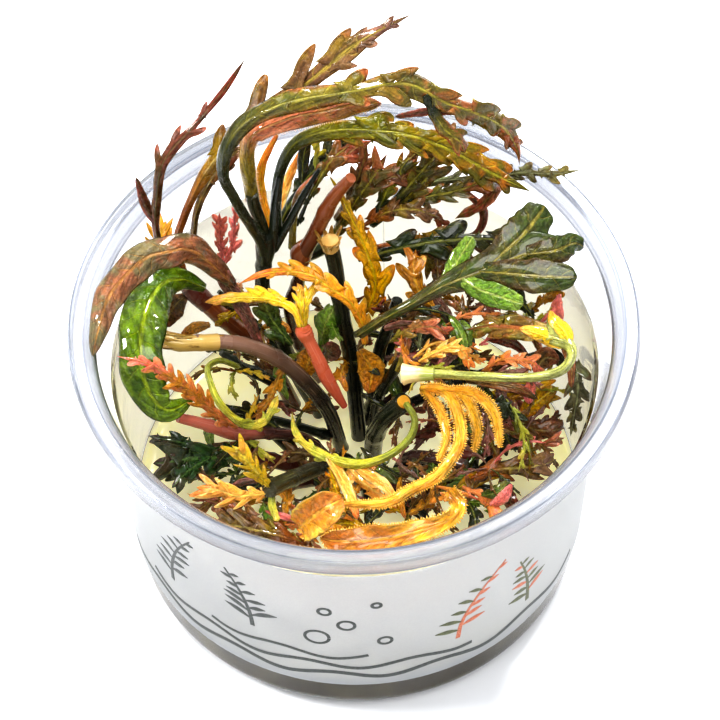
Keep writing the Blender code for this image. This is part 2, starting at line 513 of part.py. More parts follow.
def plant_front_leaves(bed):
    """The leaves low in the front of the cup."""
    bed.leaf("dark_front_leaf", "dark_leaf", [
        (-21, -4.5, 29, 2), (-24.5, -7, 33, 5), (-29, -9, 36, 7), (-33, -11, 38, 7),
        (-36.5, -12, 39, 3)], 2, 0.3, 0.1, leaves=[
        ([(-25, -7.2, 33.4, 2), (-31, -6.5, 37, 3.4), (-37.5, -6, 39, 1.6)], 0),
        ([(-26.5, -8, 34.6, 2), (-30.5, -13, 37.5, 3.6), (-33, -17, 38.5, 1.6)], 0)])
    bed.leaf("front_wall_shoot", "brown", [
        (-8, -28, 36, 2), (-14, -27, 38, 4.2), (-20.5, -26, 39.5, 4.6), (-26.5, -25, 40, 1.6)],
        0, leaves=[
        ([(-10, -27.7, 36.8, 1.4), (-22, -22.5, 40, 3), (-30, -20.5, 42, 1)], 0)])
    bed.leaf("amber_leaf", "orange", [
        (-10, -28.5, 43, 4.6), (-8, -28.5, 46, 6.4), (-5, -27.5, 48, 5.6), (-2.5, -26, 48, 2)],
        1, 0.3, 0.1)
    bed.leaf("beige_forked_leaf", "orange", [
        (-1.5, -12.5, 37, 2.4), (1, -15.5, 37, 4), (4, -17.5, 36, 2.6), (7, -20, 35, 1.6)],
        1, 0.3, 0.2)
    bed.leaf("ochre_leaf", "orange", [
        (16.5, -19.5, 40, 2.4), (18, -23, 40, 3), (15.5, -26, 40, 3), (9, -28, 39.5, 3.8),
        (2, -29, 39, 5), (-3.5, -29, 39, 3.6), (-6.5, -28, 38.5, 1.4)])
    bed.leaf("coral_low_shoot", "pink", [
        (19, -15, 34, 1.6), (22, -17.5, 35, 2), (24, -20.5, 36, 3), (25, -23.5, 36, 1.6)],
        0, leaves=[
        ([(23.8, -20.3, 36, 1), (26, -20, 38, 2.2), (27.5, -18.5, 40, 0.8)], 0)])


def main():
    """Builds the whole planted cup."""
    clear_scene()
    group = bpy.data.collections.new("planted_cup")
    helpers = bpy.data.collections.new("side_leaf_helpers")
    for collection in (group, helpers):
        bpy.context.scene.collection.children.link(collection)
    looks = {
        "clear": finish("clear_plastic", (0.92, 0.93, 0.95), 0.08, 0.35),
        "paper": finish("wrap_paper", (0.86, 0.86, 0.85), 0.6),
        "jelly": finish("jelly", (0.80, 0.74, 0.55), 0.25),
        "dark": finish("dark_stem", (0.045, 0.048, 0.035), 0.35),
        "rust": finish("rust", (0.26, 0.06, 0.02), 0.35),
        "beige": finish("beige_stem", (0.42, 0.28, 0.16), 0.4),
        "maroon": finish("maroon_stem", (0.10, 0.03, 0.03), 0.35),
        "brown": finish("brown_leaf", (0.17, 0.07, 0.03), 0.4),
        "orange": finish("orange_leaf", (0.62, 0.26, 0.06), 0.4),
        "yellow": finish("yellow_leaf", (0.66, 0.47, 0.06), 0.4),
        "pink": finish("pink_leaf", (0.56, 0.14, 0.09), 0.4),
        "olive": finish("olive_leaf", (0.18, 0.14, 0.03), 0.35),
        "green": finish("green_leaf", (0.08, 0.12, 0.02), 0.3),
        "dark_leaf": finish("dark_leaf", (0.04, 0.05, 0.02), 0.3),
    }
    make_cup(looks["clear"], group)
    make_wrap(looks["paper"], group)
    make_jelly(looks["jelly"], group)
    bed = Planting(looks, group, helpers)
    plant_stems(bed)
    plant_back_leaves(bed)
    plant_left_leaves(bed)
    plant_centre_leaves(bed)
    plant_right_leaves(bed)
    plant_front_leaves(bed)


main()
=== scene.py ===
# %% [markdown]
# # A lobed-leaf aquarium plant in its culture cup
#
# This lesson dresses a plain model of a small planted cup. The plain model gives every piece its
# place, and the cells below give each one its real surface: a thin clear cup with a turned-down
# rim, a paper wrap, a bed of jelly, glossy cut stems and many narrow leaves whose margins are
# cut into rounded or pointed lobes. Lengths are typed in millimetres, and MM makes metres of them.

# %% Load the frame
import math
import random

import bmesh
import bpy
import numpy as np
from mathutils import Matrix, Vector


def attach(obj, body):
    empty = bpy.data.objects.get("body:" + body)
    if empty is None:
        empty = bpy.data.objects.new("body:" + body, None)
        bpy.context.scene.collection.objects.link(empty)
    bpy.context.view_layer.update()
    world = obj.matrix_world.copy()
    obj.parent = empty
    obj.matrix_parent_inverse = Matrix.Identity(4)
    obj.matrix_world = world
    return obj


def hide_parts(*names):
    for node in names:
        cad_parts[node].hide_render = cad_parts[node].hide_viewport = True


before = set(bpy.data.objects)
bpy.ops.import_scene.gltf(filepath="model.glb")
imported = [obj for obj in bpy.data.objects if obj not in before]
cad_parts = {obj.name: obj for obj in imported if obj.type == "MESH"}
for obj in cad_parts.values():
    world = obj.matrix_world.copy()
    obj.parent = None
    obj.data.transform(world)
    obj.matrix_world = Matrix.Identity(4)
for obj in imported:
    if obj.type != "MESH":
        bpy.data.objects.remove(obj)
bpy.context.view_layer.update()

MM = 0.001

# %% [markdown]
# ## Colours
#
# Colours are typed as the eye reads them, from 0 to 255, and Blender works with linear light, so
# one small helper changes the one into the other.

# %% Colour helper
def tint(red, green, blue):
    """An eye-read colour as Blender's linear RGBA."""
    parts = [value / 255.0 for value in (red, green, blue)]
    linear = [((p + 0.055) / 1.055) ** 2.4 if p > 0.04045 else p / 12.92 for p in parts]
    return (*linear, 1.0)


print("a leaf green reads as", [round(v, 3) for v in tint(98, 112, 46)])

# %% [markdown]
# ## Node helpers
#
# Every finish below is a small tree of nodes. Each helper adds one node, fills its inputs with
# numbers or with other nodes' outputs, and hands back its output, so that a finish reads like a
# list of sums.

# %% Node helpers
def new_material(name):
    """A Principled material with its tree and its shader."""
    made = bpy.data.materials.new(name)
    made.use_nodes = True
    return made, made.node_tree, made.node_tree.nodes["Principled BSDF"]


def feed(tree, node, inputs):
    """Fills a node's inputs with plain values, or with other nodes' outputs."""
    for name, value in inputs.items():
        if isinstance(value, bpy.types.NodeSocket):
            tree.links.new(value, node.inputs[name])
        else:
            node.inputs[name].default_value = value


def add(tree, kind, inputs=None, **settings):
    """One node of a kind, with its settings made first and its inputs fed after them."""
    node = tree.nodes.new(kind)
    for name, value in settings.items():
        setattr(node, name, value)
    feed(tree, node, inputs or {})
    return node


def sum_of(tree, operation, *values):
    """One Math node."""
    return add(tree, "ShaderNodeMath", dict(enumerate(values)), operation=operation).outputs[0]


def off_centre(tree, value, centre):
    """How far a number is from a centre, on either side."""
    return sum_of(tree, "ABSOLUTE", sum_of(tree, "SUBTRACT", value, centre))


def ramp(tree, value, low, high, start=0.0, end=1.0):
    """A smooth change from start to end while value goes from low to high."""
    ends = {"Value": value, "From Min": low, "From Max": high, "To Min": start, "To Max": end}
    return add(tree, "ShaderNodeMapRange", ends, interpolation_type="SMOOTHSTEP").outputs["Result"]


def blend(tree, share, first, second):
    """Mixes two colours, each a tint or a node's output."""
    return add(tree, "ShaderNodeMix", {0: share, 6: first, 7: second}, data_type="RGBA").outputs[2]


def scaled(tree, vector, amount):
    """A colour or a vector times a number."""
    return add(tree, "ShaderNodeVectorMath", {0: vector, "Scale": amount}, operation="SCALE").outputs[0]


def noise(tree, scale, detail=3.0, at=None):
    """Noise that is fixed to the piece, or to another vector."""
    if at is None:
        at = add(tree, "ShaderNodeTexCoord").outputs["Object"]
    return add(tree, "ShaderNodeTexNoise", {"Vector": at, "Scale": scale, "Detail": detail}).outputs["Fac"]


def vector_of(tree, *parts):
    """A vector from two or three numbers."""
    return add(tree, "ShaderNodeCombineXYZ", dict(enumerate(parts))).outputs["Vector"]


def place_parts(tree):
    """The x, y and z of a point on the piece, in metres, as three outputs."""
    place = add(tree, "ShaderNodeTexCoord").outputs["Object"]
    return list(add(tree, "ShaderNodeSeparateXYZ", {"Vector": place}).outputs)


def axis_distance(tree, x, y):
    """How far a point is from the cup's upright axis."""
    return sum_of(tree, "SQRT", sum_of(tree, "MULTIPLY_ADD", y, y, sum_of(tree, "MULTIPLY", x, x)))


def uv_parts(tree, layer):
    """The two numbers of a named UV map."""
    uv = add(tree, "ShaderNodeUVMap", uv_map=layer).outputs["UV"]
    return list(add(tree, "ShaderNodeSeparateXYZ", {"Vector": uv}).outputs)[:2]


def bump(tree, shader, height, strength, distance):
    """Joins a height to the shader's normal."""
    node = add(tree, "ShaderNodeBump", {"Height": height, "Strength": strength, "Distance": distance})
    feed(tree, shader, {"Normal": node.outputs["Normal"]})


# %% [markdown]
# ## Leaf finish
#
# A leaf of this plant is never one colour. It is redder or darker at its margin, changes towards
# its tip, has a pale midrib with a side vein into every lobe, and is blotched where it is young.
# It is also wet, so it shines. The finish reads two UV maps that every blade carries: `blade`
# runs along and across the leaf, and `vein` counts the lobes along it.

# %% Leaf finish
def leaf_finish(name, blade, edge, tip, vein, gloss=0.2, blotch=None, coat=0.5, stalk=None, glow=0.1,
                calm=1.0, stalk_end=(0.22, 0.46)):
    """A wet leaf with blade, margin, tip and vein colours, and painted light and shade along its folds."""
    made, tree, shader = new_material(name)
    along, across = uv_parts(tree, "blade")
    lobe, _ = uv_parts(tree, "vein")
    side = sum_of(tree, "ABSOLUTE", sum_of(tree, "MULTIPLY_ADD", across, 2.0, -1.0))
    drift = noise(tree, 130.0, 2.0)
    patches = noise(tree, 480.0, 4.0)
    specks = noise(tree, 2600.0, 2.0)
    stretched = vector_of(tree, sum_of(tree, "MULTIPLY", along, 13.0),
                          sum_of(tree, "MULTIPLY_ADD", across, 7.0, lobe))
    folds = noise(tree, 1.0, 3.0, stretched)
    ragged = sum_of(tree, "MULTIPLY_ADD", patches, 0.9, side)
    colour = blend(tree, ramp(tree, ragged, 0.85, 1.3), tint(*blade), tint(*edge))
    towards = sum_of(tree, "MULTIPLY_ADD", drift, 0.7, along)
    colour = blend(tree, ramp(tree, towards, 0.8, 1.35), colour, tint(*tip))
    if blotch:
        mottle = sum_of(tree, "MULTIPLY_ADD", drift, 0.6, sum_of(tree, "MULTIPLY", patches, 0.5))
        colour = blend(tree, ramp(tree, mottle, 0.5, 0.64, 0.0, 0.85), colour, tint(*blotch))
    slanted = sum_of(tree, "MULTIPLY_ADD", side, -0.7, sum_of(tree, "MULTIPLY_ADD", patches, 0.5, lobe))
    off = off_centre(tree, sum_of(tree, "FRACT", slanted), 0.5)
    rib = ramp(tree, side, 0.04, 0.16, 1.0, 0.0)
    fade = ramp(tree, side, 0.5, 0.95, 1.0, 0.0)
    side_vein = sum_of(tree, "MULTIPLY", ramp(tree, off, 0.01, 0.08, 0.5, 0.0), fade)
    lines = sum_of(tree, "MAXIMUM", rib, side_vein)
    colour = blend(tree, sum_of(tree, "MULTIPLY", lines, 0.55), colour, tint(*vein))
    if stalk:
        colour = blend(tree, ramp(tree, along, *stalk_end, 1.0, 0.0), colour, tint(*stalk))
    # random specks vary the tone; the folds noise lightens the colour on the fold ridges and darkens it
    # between them, which is painted light and shade
    speck_tone_and_fold_shade = sum_of(tree, "MULTIPLY", ramp(tree, specks, 0.25, 0.75, 1.1 - 0.25 * calm, 1.13 + 0.15 * calm),
                   ramp(tree, folds, 0.34, 0.66, 1.08 - 0.4 * calm, 1.1 + 0.3 * calm))
    rich = add(tree, "ShaderNodeHueSaturation", {"Color": scaled(tree, colour, speck_tone_and_fold_shade), "Saturation": 1.02})
    feed(tree, shader, {
        "Base Color": rich.outputs["Color"],
        "Roughness": ramp(tree, noise(tree, 700.0, 2.0), 0.35, 0.7, gloss - 0.08, gloss + 0.2),
        "Specular IOR Level": 0.2, "Coat Weight": coat, "Coat Roughness": 0.04,
        "Subsurface Weight": glow, "Subsurface Radius": (0.9, 0.6, 0.2), "Subsurface Scale": 1.2 * MM})
    puff = sum_of(tree, "MULTIPLY_ADD", lines, -0.8, sum_of(tree, "MULTIPLY", off, 0.8))
    grain = sum_of(tree, "MULTIPLY_ADD", folds, 1.2, sum_of(tree, "MULTIPLY", noise(tree, 560.0, 2.0), 1.2))
    bump(tree, shader, sum_of(tree, "ADD", grain, puff), 0.85, 0.5 * MM)
    return made


copper = leaf_finish("copper_leaf", (134, 88, 62), (110, 76, 56), (112, 84, 62), (174, 126, 68),
                     blotch=(98, 94, 66))
glossy_green = leaf_finish("glossy_green_leaf", (72, 98, 16), (46, 66, 12), (54, 74, 20),
                           (150, 162, 34), gloss=0.16, blotch=(98, 120, 26), coat=0.8)
deep_green = leaf_finish("deep_green_leaf", (46, 56, 26), (62, 50, 28), (72, 62, 36), (140, 140, 60),
                         gloss=0.16, blotch=(34, 42, 26), coat=0.6)
wide_green = leaf_finish("wide_green_leaf", (72, 70, 26), (70, 54, 28), (58, 66, 30), (146, 132, 58),
                         gloss=0.14, blotch=(52, 66, 20), coat=0.8)
bronze = leaf_finish("bronze_leaf", (102, 92, 32), (152, 88, 52), (146, 82, 54), (168, 158, 66),
                     blotch=(74, 78, 34), coat=0.6, stalk=(34, 42, 20))
olive_gold = leaf_finish("olive_gold_leaf", (122, 102, 22), (126, 84, 34), (122, 88, 78),
                         (166, 150, 66), blotch=(104, 76, 50), stalk=(128, 74, 30))
olive_green = leaf_finish("olive_green_leaf", (112, 108, 20), (158, 104, 44), (150, 92, 30),
                          (184, 178, 62), blotch=(78, 84, 22), stalk=(40, 48, 24))
russet = leaf_finish("russet_leaf", (158, 96, 66), (206, 140, 112), (158, 82, 60), (132, 112, 56),
                     blotch=(122, 92, 44), stalk=(124, 110, 44))
wine = leaf_finish("wine_leaf", (106, 62, 46), (140, 76, 60), (128, 56, 44), (102, 94, 54),
                   blotch=(70, 52, 26))
orange = leaf_finish("orange_leaf_blade", (220, 144, 46), (234, 166, 84), (220, 112, 66),
                     (228, 190, 64), blotch=(196, 146, 46), gloss=0.22, glow=0.25, calm=0.6)
yellow = leaf_finish("yellow_leaf_blade", (222, 182, 50), (232, 178, 84), (234, 160, 88),
                     (234, 210, 90), blotch=(196, 168, 48), gloss=0.22, glow=0.25, calm=0.6)
lime = leaf_finish("lime_leaf", (160, 156, 52), (198, 178, 74), (218, 184, 84), (200, 192, 88),
                   blotch=(140, 146, 58), glow=0.2, calm=0.6, stalk=(130, 134, 58))
golden = leaf_finish("golden_leaf_blade", (190, 140, 22), (200, 118, 34), (132, 104, 36),
                     (214, 190, 40), blotch=(160, 132, 24))
pink = leaf_finish("pink_leaf_blade", (210, 128, 80), (226, 154, 104), (224, 116, 104), (200, 138, 66),
                   blotch=(206, 140, 44), glow=0.2, calm=0.6)
coral = leaf_finish("coral_leaf", (226, 128, 118), (232, 150, 136), (232, 130, 128), (190, 96, 84),
                    blotch=(208, 116, 96), glow=0.2, calm=0.6)
fresh_green = leaf_finish("fresh_green_leaf", (76, 98, 40), (96, 96, 44), (124, 116, 58),
                          (156, 170, 84), blotch=(52, 72, 34), coat=0.6)
bright_green = leaf_finish("bright_green_leaf", (92, 122, 36), (80, 104, 32), (108, 130, 50),
                           (168, 174, 92), blotch=(120, 140, 56), coat=0.8, gloss=0.14)
grey_green = leaf_finish("grey_green_leaf", (104, 108, 72), (120, 90, 60), (112, 102, 54),
                         (160, 162, 116), blotch=(72, 66, 44), coat=0.6)
peach = leaf_finish("peach_leaf", (240, 170, 84), (250, 204, 130), (232, 128, 70), (240, 206, 110),
                    glow=0.25, calm=0.4)
ochre = leaf_finish("ochre_leaf_blade", (190, 132, 38), (212, 156, 62), (172, 104, 46), (204, 162, 64),
                    gloss=0.16, blotch=(152, 104, 34), coat=0.6)
umber = leaf_finish("umber_leaf", (112, 80, 40), (148, 96, 62), (124, 72, 50), (146, 126, 66),
                    blotch=(78, 62, 32))
mauve = leaf_finish("mauve_leaf", (122, 86, 74), (160, 106, 94), (168, 100, 90), (142, 120, 92),
                    blotch=(88, 66, 52))
amber_strand = leaf_finish("amber_strand_leaf", (228, 172, 64), (238, 192, 110), (234, 176, 80),
                           (200, 140, 40), blotch=(216, 148, 58), gloss=0.22, glow=0.25, calm=0.6)
glassy_bronze = leaf_finish("glassy_bronze_leaf", (150, 122, 44), (172, 104, 56), (122, 88, 46),
                            (178, 96, 56), gloss=0.14, blotch=(118, 112, 40), coat=0.8,
                            stalk=(150, 152, 84), stalk_end=(0.66, 0.78))
maple_green = leaf_finish("maple_green_leaf", (44, 74, 34), (50, 58, 32), (84, 62, 56), (92, 122, 60),
                          gloss=0.12, blotch=(30, 50, 24), coat=1.0)
amber = leaf_finish("amber_leaf_blade", (204, 144, 42), (222, 172, 74), (190, 116, 50), (226, 180, 80),
                    gloss=0.14, blotch=(194, 126, 56), coat=0.9, glow=0.3, calm=0.6)
print("materials so far:", len(bpy.data.materials))

# %% [markdown]
# ## Stem finish
#
# A stem is a fat glossy tube, darker below and often redder above, with fine pale lines along it.
# A tube made by Geometry Nodes can carry its own numbers, so each stem stores how far along it a
# point is and how far round, and the finish stretches its noise between the two.

# %% Stem finish
def stem_finish(name, foot, head, streak, gloss=0.17, change=(0.0, 0.03)):
    """A glossy stem that changes colour along its length, in metres from its upper end."""
    made, tree, shader = new_material(name)
    far = add(tree, "ShaderNodeAttribute", attribute_name="along").outputs["Fac"]
    around = add(tree, "ShaderNodeAttribute", attribute_name="around").outputs["Fac"]
    spot = vector_of(tree, sum_of(tree, "MULTIPLY", far, 90.0), sum_of(tree, "MULTIPLY", around, 26.0))
    lines = noise(tree, 1.0, 4.0, spot)
    patches = noise(tree, 260.0, 3.0)
    place = sum_of(tree, "MULTIPLY_ADD", patches, 0.012, far)
    reddening = ramp(tree, place, change[0] + 0.006, change[1] + 0.006)
    colour = blend(tree, reddening, tint(*head), tint(*foot))
    colour = blend(tree, ramp(tree, lines, 0.55, 0.72, 0.0, 0.55), colour, tint(*streak))
    wet = ramp(tree, patches, 0.3, 0.7, gloss - 0.06, gloss + 0.14)
    feed(tree, shader, {"Base Color": colour, "Roughness": wet, "Coat Weight": 0.4, "Coat Roughness": 0.08})
    bump(tree, shader, sum_of(tree, "ADD", lines, noise(tree, 1500.0, 2.0)), 0.35, 0.25 * MM)
    return made


dark_bark = stem_finish("dark_stem_skin", (14, 18, 12), (34, 40, 26), (72, 78, 58), 0.16)
rust_bark = stem_finish("rust_stem_skin", (86, 42, 20), (138, 74, 36), (176, 108, 62))
coral_bark = stem_finish("coral_stem_skin", (168, 68, 46), (192, 98, 66), (220, 150, 118))
beige_bark = stem_finish("beige_stem_skin", (28, 22, 18), (138, 106, 88), (182, 152, 130),
                         change=(0.014, 0.046))
pink_bark = stem_finish("pink_stem_skin", (64, 34, 28), (206, 118, 96), (214, 150, 128),
                        change=(0.004, 0.022))
maroon_bark = stem_finish("maroon_stem_skin", (48, 24, 18), (100, 46, 32), (128, 76, 58))
mauve_bark = stem_finish("mauve_stem_skin", (36, 22, 22), (74, 52, 46), (140, 112, 98))
olive_bark = stem_finish("olive_stem_skin", (26, 24, 16), (48, 48, 28), (112, 108, 72))
pith = stem_finish("orange_pith", (218, 150, 44), (228, 168, 56), (238, 200, 100), 0.4)
cream = stem_finish("cream_cut_end", (150, 156, 70), (238, 206, 150), (244, 224, 180), 0.35,
                    (0.0, 0.004))
straw = stem_finish("straw_husk", (190, 150, 96), (196, 164, 84), (232, 208, 140), 0.35)
torn_skin = leaf_finish("torn_skin", (198, 160, 84), (226, 204, 150), (206, 158, 92), (140, 102, 48),
                        blotch=(150, 118, 54), glow=0.2, gloss=0.3, coat=0.3)
husk = stem_finish("crown_husk", (140, 100, 50), (200, 160, 92), (232, 208, 150), 0.35)
pale_hair = stem_finish("pale_hair", (222, 172, 130), (236, 196, 160), (244, 220, 190), 0.35)
amber_tooth = stem_finish("amber_tooth", (232, 170, 48), (240, 188, 80), (244, 208, 110), 0.35)
print("stem skins:", sum("stem_skin" in m.name for m in bpy.data.materials))

# %% [markdown]
# ## Growing leaves
#
# Each leaf follows a route: a short list of points, each with the leaf's width there. A smooth
# curve through the points gives the midrib. At every step along it one ring of points goes round
# the blade, over its upper face and back under it. Where the leaf is still stalk the ring is
# round, and past the start of the blade it is thin with a raised rib. A margin that only rises
# and falls looks like a saw, so each lobe is a small blade of its own. It leaves the midrib with
# a wide root, bends towards the leaf's tip and ends rounded or pointed.

# %% Smooth route
def smooth_route(route, count):
    """Evenly spaced points and widths, in metres, on a smooth curve through a route in millimetres."""
    spots = np.array(route, float) * MM
    ends = [2 * spots[0] - spots[1]], [2 * spots[-1] - spots[-2]]
    guide = np.concatenate([ends[0], spots, ends[1]])
    t = np.linspace(0.0, 1.0, 16, endpoint=False)[:, None]
    runs = []
    for a, b, c, d in zip(guide, guide[1:], guide[2:], guide[3:]):
        runs.append(b + 0.5 * t * (c - a + t * (2 * a - 5 * b + 4 * c - d + t * (3 * b - a - 3 * c + d))))
    dense = np.concatenate(runs + [spots[-1:]])
    steps = np.linalg.norm(np.diff(dense[:, :3], axis=0), axis=1)
    reach = np.concatenate([[0.0], np.cumsum(steps)])
    wanted = np.linspace(0.0, reach[-1], count)
    columns = [np.interp(wanted, reach, dense[:, k]) for k in range(4)]
    return np.stack(columns[:3], 1), columns[3], reach[-1]


def smooth_step(value, low, high):
    """0 below low, 1 above high and an easy curve between."""
    share = np.clip((value - low) / (high - low), 0.0, 1.0)
    return share * share * (3.0 - 2.0 * share)


spots, widths, length = smooth_route([(0, 0, 0, 2), (10, 0, 4, 4), (20, 0, 0, 1)], 5)
print("a test leaf is", round(length / MM, 1), "mm long")

# %% Blade sections
UPPER = (0.0, -0.6, 0.8)
WIDE = np.array([-1, -0.9, -0.7, -0.45, -0.22, -0.08, 0, 0.08, 0.22, 0.45, 0.7, 0.9, 1])
SLIM = np.array([-1, -0.75, -0.4, -0.12, 0, 0.12, 0.4, 0.75, 1])
WIDE_LEAF = 2.4
VEIN_SPACING = 3.4 * MM
LOBE_STEPS = np.array([0, 0.14, 0.3, 0.46, 0.6, 0.72, 0.82, 0.9, 0.96, 0.995])
BLADE_HALF = 0.12 * MM
RIB_HALF = 0.3 * MM


def put_in_scene(name, data):
    """An object for a mesh, curve, light or camera, linked to the scene."""
    made = bpy.data.objects.new(name, data)
    bpy.context.collection.objects.link(made)
    return made


def face_outwards(mesh, weld=None):
    """Turns every face outwards, after its doubles are merged if a distance is given."""
    bm = bmesh.new()
    bm.from_mesh(mesh)
    if weld:
        bmesh.ops.remove_doubles(bm, verts=bm.verts, dist=weld)
    bmesh.ops.recalc_face_normals(bm, faces=bm.faces)
    bm.to_mesh(mesh)
    bm.free()


def ring_faces(count, size):
    """The faces between rings of points, closed at both ends."""
    faces = [(k * size + i, k * size + (i + 1) % size, (k + 1) * size + (i + 1) % size, (k + 1) * size + i)
             for k in range(count - 1) for i in range(size)]
    ends = [tuple(range(size - 1, -1, -1)), tuple((count - 1) * size + i for i in range(size))]
    return faces + ends


def loft(centres, across, out, half, thick, rib, lift, columns):
    """Rings of points round a thin blade, and the faces between them."""
    rows, spread = [], []
    for face_sign, order in ((1, columns), (-1, columns[-2:0:-1])):
        for v in order:
            edge = min(1.0, 3.0 * (1.0 - abs(v)))
            rise = face_sign * (thick * edge + rib * math.exp(-((v / 0.16) ** 2)) * (abs(v) < 1))
            rows.append(centres + across * (v * half)[:, None] + out * (rise + lift(v) * half)[:, None])
            spread.append(v)
    verts = np.stack(rows, 1).reshape(-1, 3)
    return verts, ring_faces(len(centres), len(rows)), np.array(spread)


def leaf_mesh(name, parts, finish):
    """One object from several lofts, each with its own pair of UV values for every point."""
    verts, faces, pairs, base = [], [], [], 0
    for points, polygons, uv in parts:
        verts.append(points)
        faces += [tuple(base + i for i in f) for f in polygons]
        pairs.append(uv)
        base += len(points)
    mesh = bpy.data.meshes.new(name)
    mesh.from_pydata(np.concatenate(verts).tolist(), [], faces)
    corners = np.empty(len(mesh.loops), np.int32)
    mesh.loops.foreach_get("vertex_index", corners)
    values = np.concatenate(pairs)[corners].astype(np.float32)
    for column, layer in enumerate(("blade", "vein")):
        uv = mesh.uv_layers.new(name=layer)
        uv.data.foreach_set("uv", values[:, 2 * column:2 * column + 2].ravel())
    mesh.materials.append(finish)
    mesh.shade_smooth()
    face_outwards(mesh)
    return put_in_scene(name, mesh)


def lengthwise(points):
    """Unit directions along a run of points."""
    forward = np.gradient(points, axis=0)
    return forward / np.linalg.norm(forward, axis=1)[:, None]


def unit(vectors):
    """Vectors of length one."""
    return vectors / np.linalg.norm(vectors, axis=-1, keepdims=True)


# %% Finger lobe
def finger(root, outward, forward, out, length, width, lean, chance, sag, along, number):
    """One round-ended side lobe that leaves the midrib and bends towards the leaf's tip."""
    t = LOBE_STEPS
    first = math.radians(lean - 10)
    turn = first + math.radians(chance.uniform(8, 26)) * t
    steps = np.diff(t, prepend=0.0)[:, None]
    way = outward * np.cos(turn)[:, None] + forward * np.sin(turn)[:, None]
    centres = root + np.cumsum(way * steps, axis=0) * length
    centres = centres - out * (sag * length * t * t)[:, None]
    tilt = math.radians(chance.uniform(-14, 14))
    side = unit(np.cross(way, out))
    face = unit(np.cross(side, way))
    side, face = side * math.cos(tilt) + face * math.sin(tilt), face * math.cos(tilt) - side * math.sin(tilt)
    web = 0.9 * np.clip(1.0 - t / 0.32, 0, 1) ** 1.6
    round_tip = np.sqrt(np.clip(1 - ((t - 0.6).clip(0) / 0.402) ** 2, 0, 1))
    sharp_tip = np.clip(1 - ((t - 0.3).clip(0) / 0.705) ** 1.4, 0, 1)
    sharp = chance.uniform(0.15, 0.95)
    shape = (0.9 + web + 0.16 * smooth_step(t, 0.2, 0.5)) * (round_tip * (1 - sharp) + sharp_tip * sharp)
    half = 0.5 * width * shape + 0.02 * MM
    cup = chance.uniform(-0.25, 0.3)
    thick = np.full(len(t), BLADE_HALF) * (0.85 - 0.4 * t)
    rib = 0.32 * RIB_HALF * (1.0 - t)
    wave = chance.uniform(0.0, 0.25)
    phase = chance.uniform(0, 6)
    verts, faces, spread = loft(
        centres, side, face, half, thick, rib, lambda v: cup * v * v + wave * v * np.sin(7 * t + phase), SLIM)
    v = np.tile(spread, len(t))
    far = np.repeat(t, len(spread))
    edge = 0.2 + 0.8 * np.maximum(np.abs(v) * (0.3 + 0.7 * far), smooth_step(far, 0.5, 1.0))
    uv = np.stack([np.full(len(v), along), 0.5 + 0.5 * edge, number + 0.5 * v, far], 1)
    return verts, faces, uv


# %% Whole leaf
margins = {}    # each blade's margin points, kept for the hairs that grow on some of them


